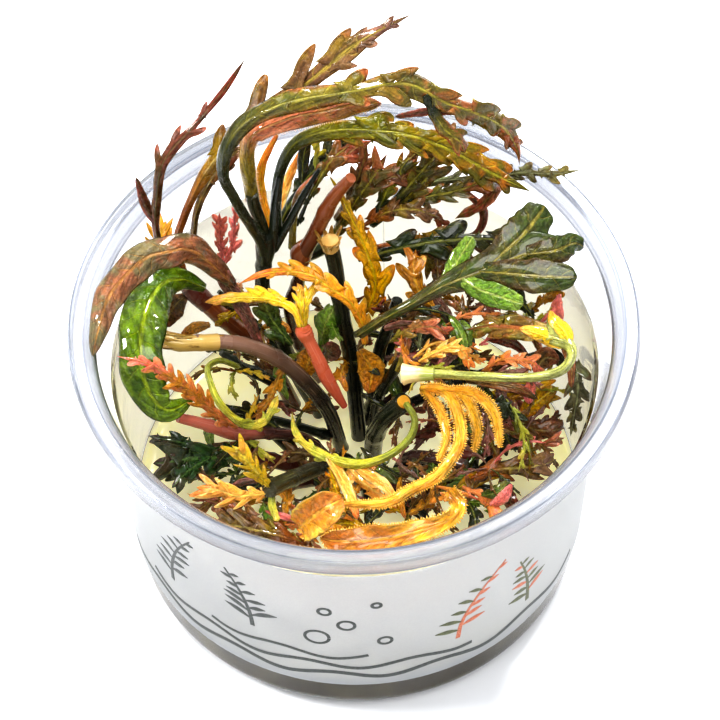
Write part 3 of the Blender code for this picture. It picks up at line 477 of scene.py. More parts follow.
def blade(name, route, finish, lobes=0, fingers=(), body=0.42, start=0.0, plump=0.42, reach=1.05, lean=60,
          droop=0.15, fold=0.0, ruffle=0.12, twist=0.0, sag=0.1, upper=UPPER):
    """One leaf along a route: a stalk, a blade with a raised midrib and side lobes on both margins.

    Lobes are either counted, and then spread evenly with small chance changes, or typed one by
    one as (place along the leaf, side, length, width, lean), in millimetres and degrees.
    """
    chance = random.Random(name)
    lobed = bool(lobes or fingers)
    columns = WIDE if max(p[3] for p in route) > WIDE_LEAF and not lobed else SLIM
    rings = int(max(26, 6 * len(route), 5 * lobes))
    rib, width, length = smooth_route(route, rings)
    u = np.linspace(0.0, 1.0, rings)
    forward = lengthwise(rib)
    across = unit(np.cross(forward, np.array(upper, float)))
    out = np.cross(across, forward)
    turn = np.radians(twist) * smooth_step(u, start, 1.0)[:, None]
    across, out = across * np.cos(turn) + out * np.sin(turn), out * np.cos(turn) - across * np.sin(turn)

    opened = smooth_step(u, start - 0.02, start + 0.12) if start else np.ones(rings)
    closing = np.sqrt(np.clip(1.0 - smooth_step(u, 0.86, 1.0) ** 2, 0.0, 1.0))
    round_end = np.sqrt(np.clip(1 - ((u - 0.92) / 0.08).clip(0) ** 2, 0.02, 1))
    share = body if lobed else 1.0
    blade_half = 0.5 * width * share * (closing if lobed else round_end)
    waves = sum(0.5 * np.sin(u * chance.uniform(18, 46) + chance.uniform(0, 6)) for _ in range(3))
    blade_half = blade_half * (1.0 + (0.16 if lobed else 0.05) * waves * opened)
    stalk = 0.44 * width
    half = stalk * (1.0 - opened) + blade_half * opened + 0.03 * MM
    thick = stalk * (1.0 - opened) * 0.75 + BLADE_HALF * opened
    ridge = np.minimum(RIB_HALF * (1.15 - u), 0.4 * width) + stalk * 0.25 * (1.0 - opened)
    ripple = np.sin(u * length / (1.5 * MM) + chance.uniform(0, 6))
    other = np.sin(u * length / (1.7 * MM) + chance.uniform(0, 6))

    def lift(v):
        """How far the margin leaves the flat, as a share of the half width."""
        wave = ripple if v < 0 else other
        return opened * (fold * abs(v) - droop * v * v + ruffle * wave * v * v)

    verts, faces, spread = loft(rib, across, out, half, thick, ridge, lift, columns)
    rows = verts.reshape(rings, -1, 3)
    margins[name] = [(rows[:, 0], -across), (rows[:, len(columns) - 1], across)]
    v = np.tile(spread, rings)
    place = np.repeat(u, len(spread))
    count = length * (1.0 - start) / VEIN_SPACING
    uv = np.stack([place, 0.5 + 0.5 * v * share, place * count + 0.5 * (v > 0), np.abs(v)], 1)
    parts = [(verts, faces, uv)]

    typed = list(fingers)
    gap = length * (0.95 - start) / max(1, lobes)
    for k in range(2 * lobes):
        spot = start + 0.02 + (0.9 - start) * (k + 0.4 + chance.uniform(-0.25, 0.25)) / (2 * lobes)
        full = float(np.interp(spot, u, width))
        wide = min(gap * plump, 0.55 * full) * chance.uniform(0.85, 1.2)
        long = full * reach * chance.uniform(0.8, 1.15)
        typed.append((spot, -1 if k % 2 else 1, long / MM, wide / MM, lean + chance.uniform(-8, 6)))
    for number, (spot, side, long, wide, slant) in enumerate(typed):
        index = spot * (rings - 1)
        low = min(int(index), rings - 2)
        part = index - low
        root, f, a, o = (x[low] * (1 - part) + x[low + 1] * part for x in (rib, forward, across, out))
        lobe = finger(root, a * side, f, o, long * MM, wide * MM, slant, chance,
                      sag + chance.uniform(-0.08, 0.16), spot, number + 1)
        parts.append(lobe)
    return leaf_mesh(name, parts, finish)


test = blade("test_leaf", [(0, 0, 0, 2), (10, 0, 4, 6), (20, 0, 0, 1)], copper, lobes=4)
print("a test leaf has", len(test.data.polygons), "faces")
bpy.data.objects.remove(test)

# %% [markdown]
# ## Growing stems
#
# A stem follows a path, so Geometry Nodes make it: a circle is swept along a curve whose own
# radius sets the thickness, the skin swells at every knot and is roughened by noise, and the
# numbers that the finish reads are stored on the way.

# %% Stem tree
def input_of(tree, name):
    """The identifier by which a modifier sets one of the tree's inputs."""
    return next(i.identifier for i in tree.interface.items_tree if i.name == name and i.in_out == "INPUT")


def new_tree(name, sizes):
    """An empty geometry tree with named inputs, each of a kind."""
    tree = bpy.data.node_groups.new(name, "GeometryNodeTree")
    for label, kind in {"Geometry": "Geometry", **sizes}.items():
        tree.interface.new_socket(label, in_out="INPUT", socket_type="NodeSocket" + kind)
    tree.interface.new_socket("Geometry", in_out="OUTPUT", socket_type="NodeSocketGeometry")
    return tree, tree.nodes.new("NodeGroupInput"), tree.nodes.new("NodeGroupOutput")


def hand_over(tree, geometry, given, result):
    """Realizes the instances, sets the material and ends the tree."""
    real = add(tree, "GeometryNodeRealizeInstances", {"Geometry": geometry})
    paint = add(tree, "GeometryNodeSetMaterial", {
        "Geometry": real.outputs["Geometry"], "Material": given.outputs["Material"]})
    tree.links.new(paint.outputs["Geometry"], result.inputs["Geometry"])
    return tree


def stem_tree():
    """Sweeps a circle along a curve, with knots and a rough skin."""
    sizes = {"Sides": "Int", "Knot Spacing": "Float", "Swelling": "Float", "Roughness": "Float",
             "Material": "Material"}
    tree, given, result = new_tree("Stem along a path", sizes)
    far = add(tree, "GeometryNodeSplineParameter").outputs["Length"]
    path = add(tree, "GeometryNodeStoreNamedAttribute", {
        "Geometry": given.outputs["Geometry"], "Name": "along", "Value": far})
    circle = add(tree, "GeometryNodeCurvePrimitiveCircle", {
        "Resolution": given.outputs["Sides"], "Radius": 1.0})
    turn = add(tree, "GeometryNodeSplineParameter").outputs["Factor"]
    ring = add(tree, "GeometryNodeStoreNamedAttribute", {
        "Geometry": circle.outputs["Curve"], "Name": "around", "Value": turn})
    sweep = add(tree, "GeometryNodeCurveToMesh", {
        "Curve": path.outputs["Geometry"], "Profile Curve": ring.outputs["Geometry"],
        "Scale": add(tree, "GeometryNodeInputRadius").outputs["Radius"], "Fill Caps": True})
    weld = add(tree, "GeometryNodeMergeByDistance", {
        "Geometry": sweep.outputs["Mesh"], "Distance": 0.01 * MM})
    place = add(tree, "GeometryNodeInputNamedAttribute", {"Name": "along"}).outputs["Attribute"]
    turns = sum_of(tree, "DIVIDE", place, given.outputs["Knot Spacing"])
    off = off_centre(tree, sum_of(tree, "FRACT", turns), 0.5)
    knot = sum_of(tree, "MULTIPLY", ramp(tree, off, 0.0, 0.07, 1.0, 0.0), given.outputs["Swelling"])
    grain = add(tree, "ShaderNodeTexNoise", {"Scale": 700.0}).outputs["Fac"]
    rough = sum_of(tree, "MULTIPLY", sum_of(tree, "SUBTRACT", grain, 0.5), given.outputs["Roughness"])
    normal = add(tree, "GeometryNodeInputNormal").outputs["Normal"]
    push = scaled(tree, normal, sum_of(tree, "ADD", knot, rough))
    move = add(tree, "GeometryNodeSetPosition", {"Geometry": weld.outputs["Geometry"], "Offset": push})
    return hand_over(tree, move.outputs["Geometry"], given, result)


STEM_TREE = stem_tree()
print("the stem tree has", len(STEM_TREE.nodes), "nodes")

# %% From curve to stem
def applied(carrier):
    """The mesh that an object's modifiers make. The object itself is taken away."""
    graph = bpy.context.evaluated_depsgraph_get()
    graph.update()
    mesh = bpy.data.meshes.new_from_object(carrier.evaluated_get(graph))
    bpy.data.objects.remove(carrier)
    return mesh


def run_tree(carrier, tree, values):
    """Runs a tree on an object and gives the result as a plain mesh object."""
    modifier = carrier.modifiers.new("Grow", "NODES")
    modifier.node_group = tree
    for label, value in values.items():
        modifier[input_of(tree, label)] = value
    name = carrier.name + "_made"
    return put_in_scene(name, applied(carrier))


STEM_STEP = 0.9 * MM
SKIN_ROUGHNESS = 0.12 * MM


def stem(name, route, finish, knots=11.0, swelling=0.22, sides=18):
    """A stem along a route, thick as its widths say."""
    curve = bpy.data.curves.new(name, "CURVE")
    curve.dimensions = "3D"
    line = curve.splines.new("POLY")
    length = smooth_route(route, 8)[2]
    spots, widths, _ = smooth_route(route, max(16, int(length / STEM_STEP)))
    line.points.add(len(spots) - 1)
    for point, spot, width in zip(line.points, spots, widths):
        point.co = (*spot, 1.0)
        point.radius = width / 2.0
    values = {"Sides": sides, "Knot Spacing": knots * MM, "Swelling": swelling * MM,
              "Roughness": SKIN_ROUGHNESS, "Material": finish}
    made = run_tree(put_in_scene(name, curve), STEM_TREE, values)
    made.data.shade_smooth()
    return made


# %% Putting a plant piece together
grown = {}


def grow(node, *parts):
    """Keeps the parts that stand for one node of the frame."""
    grown.setdefault(node, []).extend(parts)


def sprout(node, finish, *routes, **shape):
    """Several small leaves of one kind on a node."""
    for route in routes:
        number = str(len(grown.get(node, [])))
        grow(node, blade(node + "_leaflet_" + number, route, finish, **shape))


def leaf(node, finish, route, **shape):
    """The main leaf of a node."""
    grow(node, blade(node + "_blade", route, finish, **shape))


# %% [markdown]
# ## The cup
#
# The cup is one thin clear moulding: a round floor, a nearly straight wall, a short flare and a
# flat rim that turns down at its edge. It is turned from a profile, finer than the frame's so
# that its edges catch light, and its corners are rounded before it is turned.

# %% Cup profile
CUP_HEIGHT = 65.3
RIM_RADIUS = 50.0
MOUTH_RADIUS = 45.2
WALL_TOP_RADIUS = 43.3
WALL_FOOT_RADIUS = 41.9
WALL = 0.8
BASE_CORNER = 5.8
SHOULDER = 52.0
JELLY_TOP = 11.0
RIM_DROP = 3.4
FROST_HEIGHT = 61.5
TURN_STEPS = 144
SHARP_ANGLE = math.radians(40)


def rounded(profile, radius, steps=4):
    """The profile with each inner corner cut to a short curve."""
    made = [profile[0]]
    for before, here, after in zip(profile, profile[1:], profile[2:]):
        here = Vector(here)
        into = here - Vector(before)
        away = Vector(after) - here
        cut = min(radius, 0.45 * into.length, 0.45 * away.length)
        first = here - into.normalized() * cut
        last = here + away.normalized() * cut
        for k in range(steps + 1):
            t = k / steps
            spot = first * (1 - t) ** 2 + here * (2 * t * (1 - t)) + last * t ** 2
            made.append(tuple(spot))
    return made + [profile[-1]]


def foot_round(radius, steps=10):
    """The quarter round between wall and floor."""
    centre = WALL_FOOT_RADIUS - BASE_CORNER
    turns = [math.pi / 2 * k / steps for k in range(steps + 1)]
    return [(centre + radius * math.cos(t), BASE_CORNER - radius * math.sin(t)) for t in turns]


def turned(name, profile, finish, closed=False):
    """A shape turned about Z from (radius, height) points in millimetres."""
    mesh = bpy.data.meshes.new(name)
    edges = [(i, i + 1) for i in range(len(profile) - 1)]
    if closed:
        edges.append((len(profile) - 1, 0))
    mesh.from_pydata([(r * MM, 0.0, z * MM) for r, z in profile], edges, [])
    carrier = put_in_scene(name, mesh)
    screw = carrier.modifiers.new("Turn", "SCREW")
    screw.steps = TURN_STEPS
    screw.render_steps = TURN_STEPS
    screw.use_merge_vertices = True
    screw.merge_threshold = 0.02 * MM
    solid = applied(carrier)
    face_outwards(solid, weld=0.005 * MM)
    solid.shade_smooth()
    solid.set_sharp_from_angle(angle=SHARP_ANGLE)
    solid.materials.clear()
    solid.materials.append(finish)
    return put_in_scene(name, solid)


def repaint(piece, finish, wanted):
    """A second finish on the faces whose centre is wanted."""
    piece.data.materials.append(finish)
    for face in piece.data.polygons:
        if wanted(face.center):
            face.material_index = 1


# %% Clear plastic
PLASTIC_IOR = 1.46
# radii and height of the painted shade lines on the rim
RIM_SHADE_LINE_RADII = (47.4, 49.5)
RIM_SHADE_LINE_HEIGHT = 62.5


def clear_plastic():
    """Thin clear plastic, a little greyer above its shoulder, with a thin moulding's faint waviness."""
    made, tree, shader = new_material("clear_cup_plastic")
    high = ramp(tree, place_parts(tree)[2], SHOULDER * MM, (SHOULDER + 4) * MM)
    feed(tree, shader, {
        "Base Color": blend(tree, high, tint(252, 252, 253), tint(241, 241, 246)),
        "Transmission Weight": 1.0, "IOR": PLASTIC_IOR, "Roughness": 0.04})
    fine = sum_of(tree, "MULTIPLY_ADD", noise(tree, 900.0, 2.0), 0.04, noise(tree, 60.0, 2.0))
    bump(tree, shader, fine, 0.25, 0.6 * MM)
    return made


def frosted_plastic():
    """The rim's plastic, a little milky, with thin dark lines of painted shade at its top edges and across
    its skirt.
    """
    made, tree, shader = new_material("frosted_rim_plastic")
    x, y, z = place_parts(tree)
    radius = axis_distance(tree, x, y)
    turn = sum_of(tree, "MULTIPLY", sum_of(tree, "ARCTAN2", y, x), 5.0)
    rings = vector_of(tree, sum_of(tree, "MULTIPLY", radius, 1400.0), turn,
                      sum_of(tree, "MULTIPLY", z, 1400.0))
    streaks = noise(tree, 1.0, 3.0, rings)
    colour = blend(tree, ramp(tree, streaks, 0.35, 0.7), tint(196, 198, 204), tint(200, 202, 207))
    # dark rings at the rim's two top edges and across its skirt are painted shade lines
    for edge in RIM_SHADE_LINE_RADII:
        line = ramp(tree, off_centre(tree, radius, edge * MM), 0.0, 0.22 * MM, 0.75, 0.0)
        colour = blend(tree, line, colour, tint(112, 122, 142))
    line = ramp(tree, off_centre(tree, z, RIM_SHADE_LINE_HEIGHT * MM), 0.0, 0.4 * MM, 0.7, 0.0)
    colour = blend(tree, line, colour, tint(112, 116, 130))
    feed(tree, shader, {
        "Base Color": colour, "Transmission Weight": 0.75, "IOR": PLASTIC_IOR, "Roughness": 0.16})
    bump(tree, shader, streaks, 0.04, 0.2 * MM)
    return made


rim = rounded([
    (WALL_TOP_RADIUS - WALL, SHOULDER), (WALL_TOP_RADIUS + 0.1, SHOULDER + 2.0),
    (MOUTH_RADIUS, CUP_HEIGHT - 3.0), (MOUTH_RADIUS + 2.0, CUP_HEIGHT),
    (RIM_RADIUS - 0.5, CUP_HEIGHT), (RIM_RADIUS, CUP_HEIGHT - 0.5),
    (RIM_RADIUS, CUP_HEIGHT - RIM_DROP), (RIM_RADIUS - WALL, CUP_HEIGHT - RIM_DROP),
    (RIM_RADIUS - WALL, CUP_HEIGHT - 1.0), (MOUTH_RADIUS + 2.2, CUP_HEIGHT - 1.0),
    (MOUTH_RADIUS + 0.8, CUP_HEIGHT - 3.2), (WALL_TOP_RADIUS + 0.9, SHOULDER + 2.0),
    (WALL_TOP_RADIUS, SHOULDER)], 0.5)
cup_profile = [(0.0, WALL)] + foot_round(BASE_CORNER - WALL)[::-1] + rim
cup_profile += foot_round(BASE_CORNER) + [(0.0, 0.0)]
cup_piece = turned("cup_moulding", cup_profile, clear_plastic())
repaint(cup_piece, frosted_plastic(), lambda spot: spot.z > FROST_HEIGHT * MM)
grow("cup", cup_piece)
print("cup profile points:", len(cup_profile))

# %% [markdown]
# ## The wrap
#
# A white coated paper band goes round the wall. Its outer face is coloured mid grey, which is
# painted shade on the white paper. It is a plain sleeve, and a thin line at the back marks where
# its ends meet. Inside the cup its back shows through the plastic, warm and cream coloured. A
# paper this thin lets light through, so most of its colour is set inside it.

# %% Paper
WRAP_LOW = 11.6
WRAP_HIGH = 51.0
WRAP_GAP = 0.3
WRAP_THICK = 0.3
SEAM_PLACE = 6.0
WALL_SLOPE = (WALL_TOP_RADIUS - WALL_FOOT_RADIUS) / (WRAP_HIGH - BASE_CORNER)


def wall_radius(height):
    """Outer radius of the cup's wall at a height."""
    return WALL_FOOT_RADIUS + WALL_SLOPE * (height - BASE_CORNER)


def wrap_paper():
    """Warm uncoated paper inside, and white coated paper outside coloured mid grey as painted shade."""
    made, tree, shader = new_material("wrap_paper_with_painted_shade_outside")
    x, y, z = place_parts(tree)
    radius = axis_distance(tree, x, y)
    skin = sum_of(tree, "MULTIPLY_ADD", z, -WALL_SLOPE, radius)
    inner = wall_radius(0.0) + WRAP_GAP
    outside = ramp(tree, skin, (inner + 0.1) * MM, (inner + 0.2) * MM)
    fibres = noise(tree, 3000.0, 4.0)
    # the outer face's mid grey is painted shade on white coated paper; the inner cream is the paper's own
    # colour
    colour = blend(tree, outside, tint(216, 208, 186), tint(152, 154, 155))
    seam = ramp(tree, off_centre(tree, x, SEAM_PLACE * MM), 0.1 * MM, 0.2 * MM, 1.0, 0.0)
    behind = ramp(tree, y, 10 * MM, 12 * MM, 0.0, 0.5)
    colour = blend(tree, sum_of(tree, "MULTIPLY", seam, behind), colour, tint(84, 84, 82))
    feed(tree, shader, {
        "Base Color": scaled(tree, colour, ramp(tree, fibres, 0.2, 0.8, 0.97, 1.02)), "Roughness": 0.42,
        "Subsurface Weight": 1.0, "Subsurface Radius": (1.0, 0.97, 0.9), "Subsurface Scale": 3 * MM})
    bump(tree, shader, fibres, 0.12, 0.1 * MM)
    return made


low, high = wall_radius(WRAP_LOW) + WRAP_GAP, wall_radius(WRAP_HIGH) + WRAP_GAP
half_way = (WRAP_LOW + WRAP_HIGH) / 2
wrap_profile = rounded([
    (low + WRAP_THICK, half_way), (high + WRAP_THICK, WRAP_HIGH), (high, WRAP_HIGH),
    (low, WRAP_LOW), (low + WRAP_THICK, WRAP_LOW), (low + WRAP_THICK + 0.001, half_way - 0.01)], 0.08, 2)
wrap_profile[0] = ((low + high) / 2 + WRAP_THICK, half_way)
wrap_profile[-1] = ((low + high) / 2 + WRAP_THICK - 0.001, half_way - 0.1)
grow("wrap", turned("wrap_band", wrap_profile, wrap_paper(), closed=True))
print("wrap stands", WRAP_HIGH - WRAP_LOW, "mm high")

# %% [markdown]
# ## Print on the wrap
#
# The wrap's print is invented for this cup. Water waves run round the foot of the paper, and
# bubbles and sprays of toothed leaves rise from them. Each mark is a flat ribbon of ink that
# follows a path typed as turns round the wall and heights on it.

# %% Printed marks
def ink(name, colour, worn):
    """Printing ink, slightly uneven where the paper takes it badly."""
    made, tree, shader = new_material(name)
    cover = ramp(tree, noise(tree, 2200.0, 3.0), 0.35, 0.6)
    feed(tree, shader, {"Base Color": blend(tree, cover, tint(*worn), tint(*colour)), "Roughness": 0.45})
    bump(tree, shader, noise(tree, 3000.0, 2.0), 0.1, 0.05 * MM)
    return made


slate_ink = ink("slate_ink", (58, 62, 60), (74, 78, 76))
moss_ink = ink("moss_ink", (70, 74, 44), (92, 98, 58))
rust_ink = ink("rust_ink", (170, 88, 56), (190, 116, 80))


def printed(name, path, finish):
    """A ribbon of ink along a path of (turn in degrees, height, width) points."""
    route = [(turn, height, 0.0, width) for turn, height, width in path]
    spots, widths, _ = smooth_route(route, 5 * len(path))
    turns, heights = np.radians(spots[:, 0] / MM), spots[:, 1] / MM
    outward = np.stack([np.cos(turns), np.sin(turns), np.zeros(len(turns))], 1)
    reach = wall_radius(heights) + WRAP_GAP + WRAP_THICK
    middle = outward * (reach * MM)[:, None]
    middle[:, 2] = heights * MM
    side = unit(np.cross(lengthwise(middle), outward)) * (widths / 2)[:, None]
    under, over = outward * -0.05 * MM, outward * 0.03 * MM
    corners = [middle - side + under, middle + side + under, middle + side + over, middle - side + over]
    verts = np.stack(corners, 1)
    mesh = bpy.data.meshes.new(name)
    mesh.from_pydata(verts.reshape(-1, 3).tolist(), [], ring_faces(len(middle), 4))
    mesh.materials.append(finish)
    face_outwards(mesh)
    return put_in_scene(name, mesh)


def spray(name, turn, foot, tall, lean, stalk_ink, leaf_inks, seed):
    """A printed stalk with pairs of narrow leaves."""
    chance = random.Random(seed)
    stalk = [(turn + lean * s * s, foot + tall * s, 0.9 - 0.55 * s) for s in (0.0, 0.25, 0.5, 0.75, 1.0)]
    marks = [printed(name + "_stalk", stalk, stalk_ink)]
    for k in range(12):
        s = 0.14 + 0.07 * k
        side = 1 if k % 2 else -1
        long = (5.6 - 4.2 * s) * chance.uniform(0.8, 1.15)
        rise = chance.uniform(0.3, 0.75)
        start = (turn + lean * s * s, foot + tall * s, 0.2)
        middle = (start[0] + side * 0.7 * long, start[1] + 0.5 * rise * long, 1.4 - 0.6 * s)
        end = (start[0] + side * 1.35 * long, start[1] + 0.7 * rise * long, 0.12)
        marks.append(printed(name + "_leaf_" + str(k), [start, middle, end], leaf_inks[k % len(leaf_inks)]))
    return marks


for row, (height, first, last) in enumerate(((15.5, -164, -22), (19.0, -150, -58), (22.5, -128, -84))):
    wave = [(turn, height + 0.9 * math.sin(math.radians(14 * turn + 90 * row)), 1.1 - 0.15 * row)
            for turn in range(first, last, 4)]
    grow("wrap", printed("water_wave_" + str(row), wave, slate_ink))
grow("wrap", *spray("tall_spray", -141, 24, 21, 9, slate_ink, [slate_ink], 3))
grow("wrap", *spray("leaning_spray", -116, 27, 17, -6, slate_ink, [slate_ink], 5))
grow("wrap", *spray("bright_spray", -66, 22, 20, 12, rust_ink, [moss_ink, rust_ink], 7))
grow("wrap", *spray("small_spray", -45, 20, 17, -4, moss_ink, [moss_ink, rust_ink, moss_ink], 9))
for turn, height, size in ((-100, 29, 2.2), (-93, 34, 1.5), (-98, 38.5, 1.1), (-86, 41, 0.8), (-84, 28, 1.2)):
    ring = [(turn + 1.31 * size * math.cos(a * math.pi / 6), height + size * math.sin(a * math.pi / 6), 0.6)
            for a in range(12)] + [(turn + 1.31 * size * 0.996, height - 0.08 * size, 0.6)]
    grow("wrap", printed("bubble_" + str(height), ring, slate_ink))
print("printed marks:", len(grown["wrap"]) - 1)

# %% [markdown]
# ## The jelly
#
# The jelly is a soft pale bed that climbs the wall a little. From above it is cream with faint
# clouds, and a faint emission on its top is a painted glow for the light it gathers from its
# sides. Through the wall its side looks dark olive; that dark olive is painted shade, with a
# dull finish of its own.

# %% Jelly
JELLY_OVERLAP = 0.05
JELLY_CLIMB = 2.2
JELLY_PAINTED_GLOW = 0.26


def jelly_finish(name, first, second, softness):
    """Jelly with faint clouds in it. Softness makes it wetter and deeper and adds a painted glow."""
    made, tree, shader = new_material(name)
    clouds = ramp(tree, noise(tree, 120.0, 4.0), 0.35, 0.7)
    # the emission is a painted glow: it stands in for light that reaches the jelly from its sides
    feed(tree, shader, {
        "Base Color": blend(tree, clouds, tint(*first), tint(*second)),
        "Roughness": 0.6 - 0.42 * softness, "Specular IOR Level": 0.5 * softness,
        "Subsurface Weight": 0.8 * softness, "Subsurface Radius": (1.0, 0.9, 0.5),
        "Subsurface Scale": 3 * MM, "Emission Color": tint(255, 244, 208),
        "Emission Strength": JELLY_PAINTED_GLOW * softness})
    bump(tree, shader, noise(tree, 350.0, 3.0), 0.35, 0.5 * MM)
    return made


inset = WALL - JELLY_OVERLAP
brim = WALL_FOOT_RADIUS - inset
jelly_profile = [
    (0.0, JELLY_TOP), (brim - 2.4, JELLY_TOP), (brim - 1.1, JELLY_TOP + 0.1),
    (brim - 0.35, JELLY_TOP + 0.6), (brim + 0.1, JELLY_TOP + JELLY_CLIMB),
    (brim + 0.22, JELLY_TOP + JELLY_CLIMB)]
jelly_profile += foot_round(BASE_CORNER - inset) + [(0.0, inset)]
jelly_top = jelly_finish("nutrient_jelly_top", (255, 250, 200), (252, 242, 172), 1.0)
# the side's dark olive is painted shade, for the jelly seen in shadow through the wall
jelly_painted_shade_side = jelly_finish("nutrient_jelly_side", (66, 54, 20), (90, 78, 38), 0.0)
jelly_piece = turned("jelly_bed", jelly_profile, jelly_top)
repaint(jelly_piece, jelly_painted_shade_side,
        lambda spot: spot.z < (JELLY_TOP - 0.3) * MM or spot.xy.length > brim * MM)
grow("jelly", jelly_piece)
print("the jelly's top stands at", JELLY_TOP, "mm")

# %% [markdown]
# ## Stems
#
# The stems stand in the jelly and lean out to all sides. Some were cut across and show a paler
# end, and young leaves grow from the knots of others.

# %% Stems at the back
grow("rust_stem", stem("rust_stem_tube", [
    (0, 20.5, 79, 2), (-3.5, 21, 72, 2.6), (-6.8, 20.5, 63, 2.8), (-9, 20.5, 57, 2.8),
    (-10, 21, 49, 2.3), (-12, 21.5, 40, 2.2), (-10.5, 23, 26, 2.2), (-7.5, 25, 11.6, 2.2)],
    rust_bark, 22))
grow("crowned_stem", stem("crowned_stem_tube", [
    (-4, 18, 64, 3), (-3, 17, 57, 2.8), (-2.5, 15.5, 50, 2.8), (-1.5, 15, 40, 3), (-0.5, 14.5, 31, 3),
    (0, 12.5, 22, 3), (0.5, 11.5, 11.6, 3)], dark_bark, 26))
grow("noded_stem", stem("noded_stem_tube", [
    (-15.5, 20.5, 62.4, 3.2), (-15.8, 20.2, 60, 3.4), (-16, 20, 57, 2.8), (-16.5, 19, 49, 2.8),
    (-14.5, 19, 38, 2.8), (-11.5, 18, 25, 2.8), (-7, 17, 11.6, 2.8)], dark_bark, 14, 0.3))
grow("left_rust_stem", stem("left_rust_stem_tube", [
    (-30, 21.5, 47, 3.5), (-25.5, 20, 41, 3.4), (-20, 19.5, 33, 3.3), (-15, 19, 22, 3),
    (-12, 19, 11.6, 3)], rust_bark, 19))
grow("slant_stem", stem("slant_stem_tube", [
    (15, 9.5, 49, 1.6), (10, 9, 43, 1.9), (6.5, 9.5, 34, 2), (4, 10.5, 24, 2), (3.5, 11, 11.6, 2.2)],
    dark_bark, 9))
grow("leafy_stem", stem("leafy_stem_tube", [
    (8, 17.5, 47, 2), (6.5, 16.5, 41, 2.3), (4.5, 15.5, 33, 2.4), (3.5, 15.5, 20, 2.4),
    (2, 15, 11.6, 2.4)], dark_bark, 9))
print("stems at the back:", len([n for n in grown if "stem" in n]))

# %% Stems in the middle and the front
grow("coral_shoot", stem("coral_stem_tube", [
    (-9, 7, 53.2, 2.6), (-8.6, 6.6, 51.5, 2.4), (-7, 5, 48, 2.4), (-5, 3, 43, 2.6), (-2, 1, 37, 1.2)],
    coral_bark, 15, 0.1))
grow("beige_stem", stem("beige_stem_tube", [
    (-36, 5.5, 54, 2), (-32, 4.5, 53, 2.5), (-24, 6, 51, 2.7), (-19, 7, 48, 2.9), (-13.5, 8, 42, 3),
    (-8.5, 8.5, 33, 3), (-5, 8.5, 24, 2.9), (-3, 9, 11.6, 2.8)], beige_bark, 17))
grow("pink_stem", stem("pink_stem_tube", [
    (-32, -3.5, 41, 1.9), (-27.5, -3, 38, 2.2), (-22, -2.5, 34, 2.6), (-16, -0.5, 31, 2.3),
    (-9.5, 2, 25, 2.3), (-4, 4.5, 11.6, 2.2)], pink_bark, 13))
grow("maroon_stem", stem("maroon_stem_tube", [
    (-20, -2.5, 27, 3), (-14, -2.5, 24, 2.8), (-8, -1, 18, 2.7), (-6, -1, 11.6, 2.7)], maroon_bark, 10))
grow("olive_shoot", stem("olive_stem_tube", [
    (-15.5, -20.5, 43, 3.3), (-12, -16, 39, 3), (-6.5, -9.5, 33, 3), (-2, -3, 25, 3),
    (0, 1, 11.6, 2.8)], olive_bark, 16))
grow("stub_stem", stem("stub_stem_tube", [
    (8.5, 1.5, 37, 3.6), (5.5, 2.5, 31, 3.5), (3.5, 4.5, 22, 3.5), (3, 6, 11.6, 3.4)], dark_bark, 30))
grow("mauve_stem", stem("mauve_stem_tube", [
    (20, -6.5, 28, 2.3), (14.5, -3.5, 26, 2.5), (9.5, 0, 21, 2.5), (7.5, 2, 11.6, 2.5)],
    mauve_bark, 8, 0.3))
grow("front_stem", stem("front_stem_tube", [
    (30, -8.5, 32, 2.5), (25.5, -8, 28, 2.5), (21, -6.5, 22, 2.4), (19, -5, 11.6, 2.4)],
    olive_bark, 8, 0.3))
print("stems:", len([n for n in grown if "stem" in n or "shoot" in n]))

# %% [markdown]
# ## Leaves over the back
#
# The longest leaves arch up over the back of the rim. They are bronze and olive, with round
# lobes along both margins from a third of the way up.

# %% Leaves over the back
leaf("red_edge_leaf", wine, [
    (-34.5, 19.5, 60, 1.6), (-35, 21, 66, 1.5), (-34.5, 22.5, 71, 2.4), (-33.5, 24.5, 77, 3),
    (-31.5, 26.5, 80, 2.8), (-28, 28.5, 83, 2.2), (-24.5, 31, 86, 1.6), (-21.5, 33, 89, 1.7),
    (-18, 36, 93, 1.1)], start=0.2, body=0.62, fingers=[
    (0.42, -1, 4.5, 1.3, 62), (0.52, -1, 4.5, 1.3, 68), (0.6, 1, 4, 1.1, 66), (0.7, -1, 3, 1, 70)])
sprout("red_edge_leaf", wine, [(-34.9, 21, 66, 0.8), (-36.6, 22.6, 70, 1.8), (-37.8, 23.8, 76, 0.6)])
leaf("tall_leaf", olive_gold, [
    (-30.5, 19, 53, 1.5), (-31.5, 20.5, 61, 1.6), (-30, 21.5, 67, 1.7), (-27.5, 23, 73, 2),
    (-24, 26.5, 77, 4.2), (-19.5, 29.5, 81, 5.4), (-14, 32.5, 84, 7), (-8.5, 33.5, 88, 7),
    (-4, 34.5, 92, 6.6), (0, 36, 95, 6.8), (4.5, 37, 98, 5), (11, 38.5, 101, 1.6)], start=0.32,
    body=0.46, sag=0.0, fingers=[
    (0.4, -1, 5.5, 2.4, 60), (0.52, -1, 8.5, 2.7, 56), (0.645, -1, 9.5, 2.9, 58),
    (0.76, -1, 7.6, 2.7, 68), (0.83, -1, 4.6, 1.7, 74), (0.77, 1, 4.6, 2, 50), (0.86, 1, 3, 1.6, 48),
    (0.66, 1, 5, 2.2, 56), (0.93, -1, 2.4, 1.2, 64), (0.94, 1, 1.8, 1, 60), (0.5, 1, 4, 1.8, 60)])
leaf("brown_back_leaf", umber, [
    (-29, 24, 57, 1.4), (-28, 26, 63, 1.5), (-26, 28.5, 67, 2.5), (-23.5, 31.5, 69, 4.6),
    (-21, 33, 71, 4.4), (-19.5, 34, 72, 1.6)], start=0.35, body=0.6, fingers=[
    (0.55, -1, 4.4, 1.9, 58), (0.7, 1, 3.6, 1.6, 55), (0.8, -1, 3, 1.4, 55)])
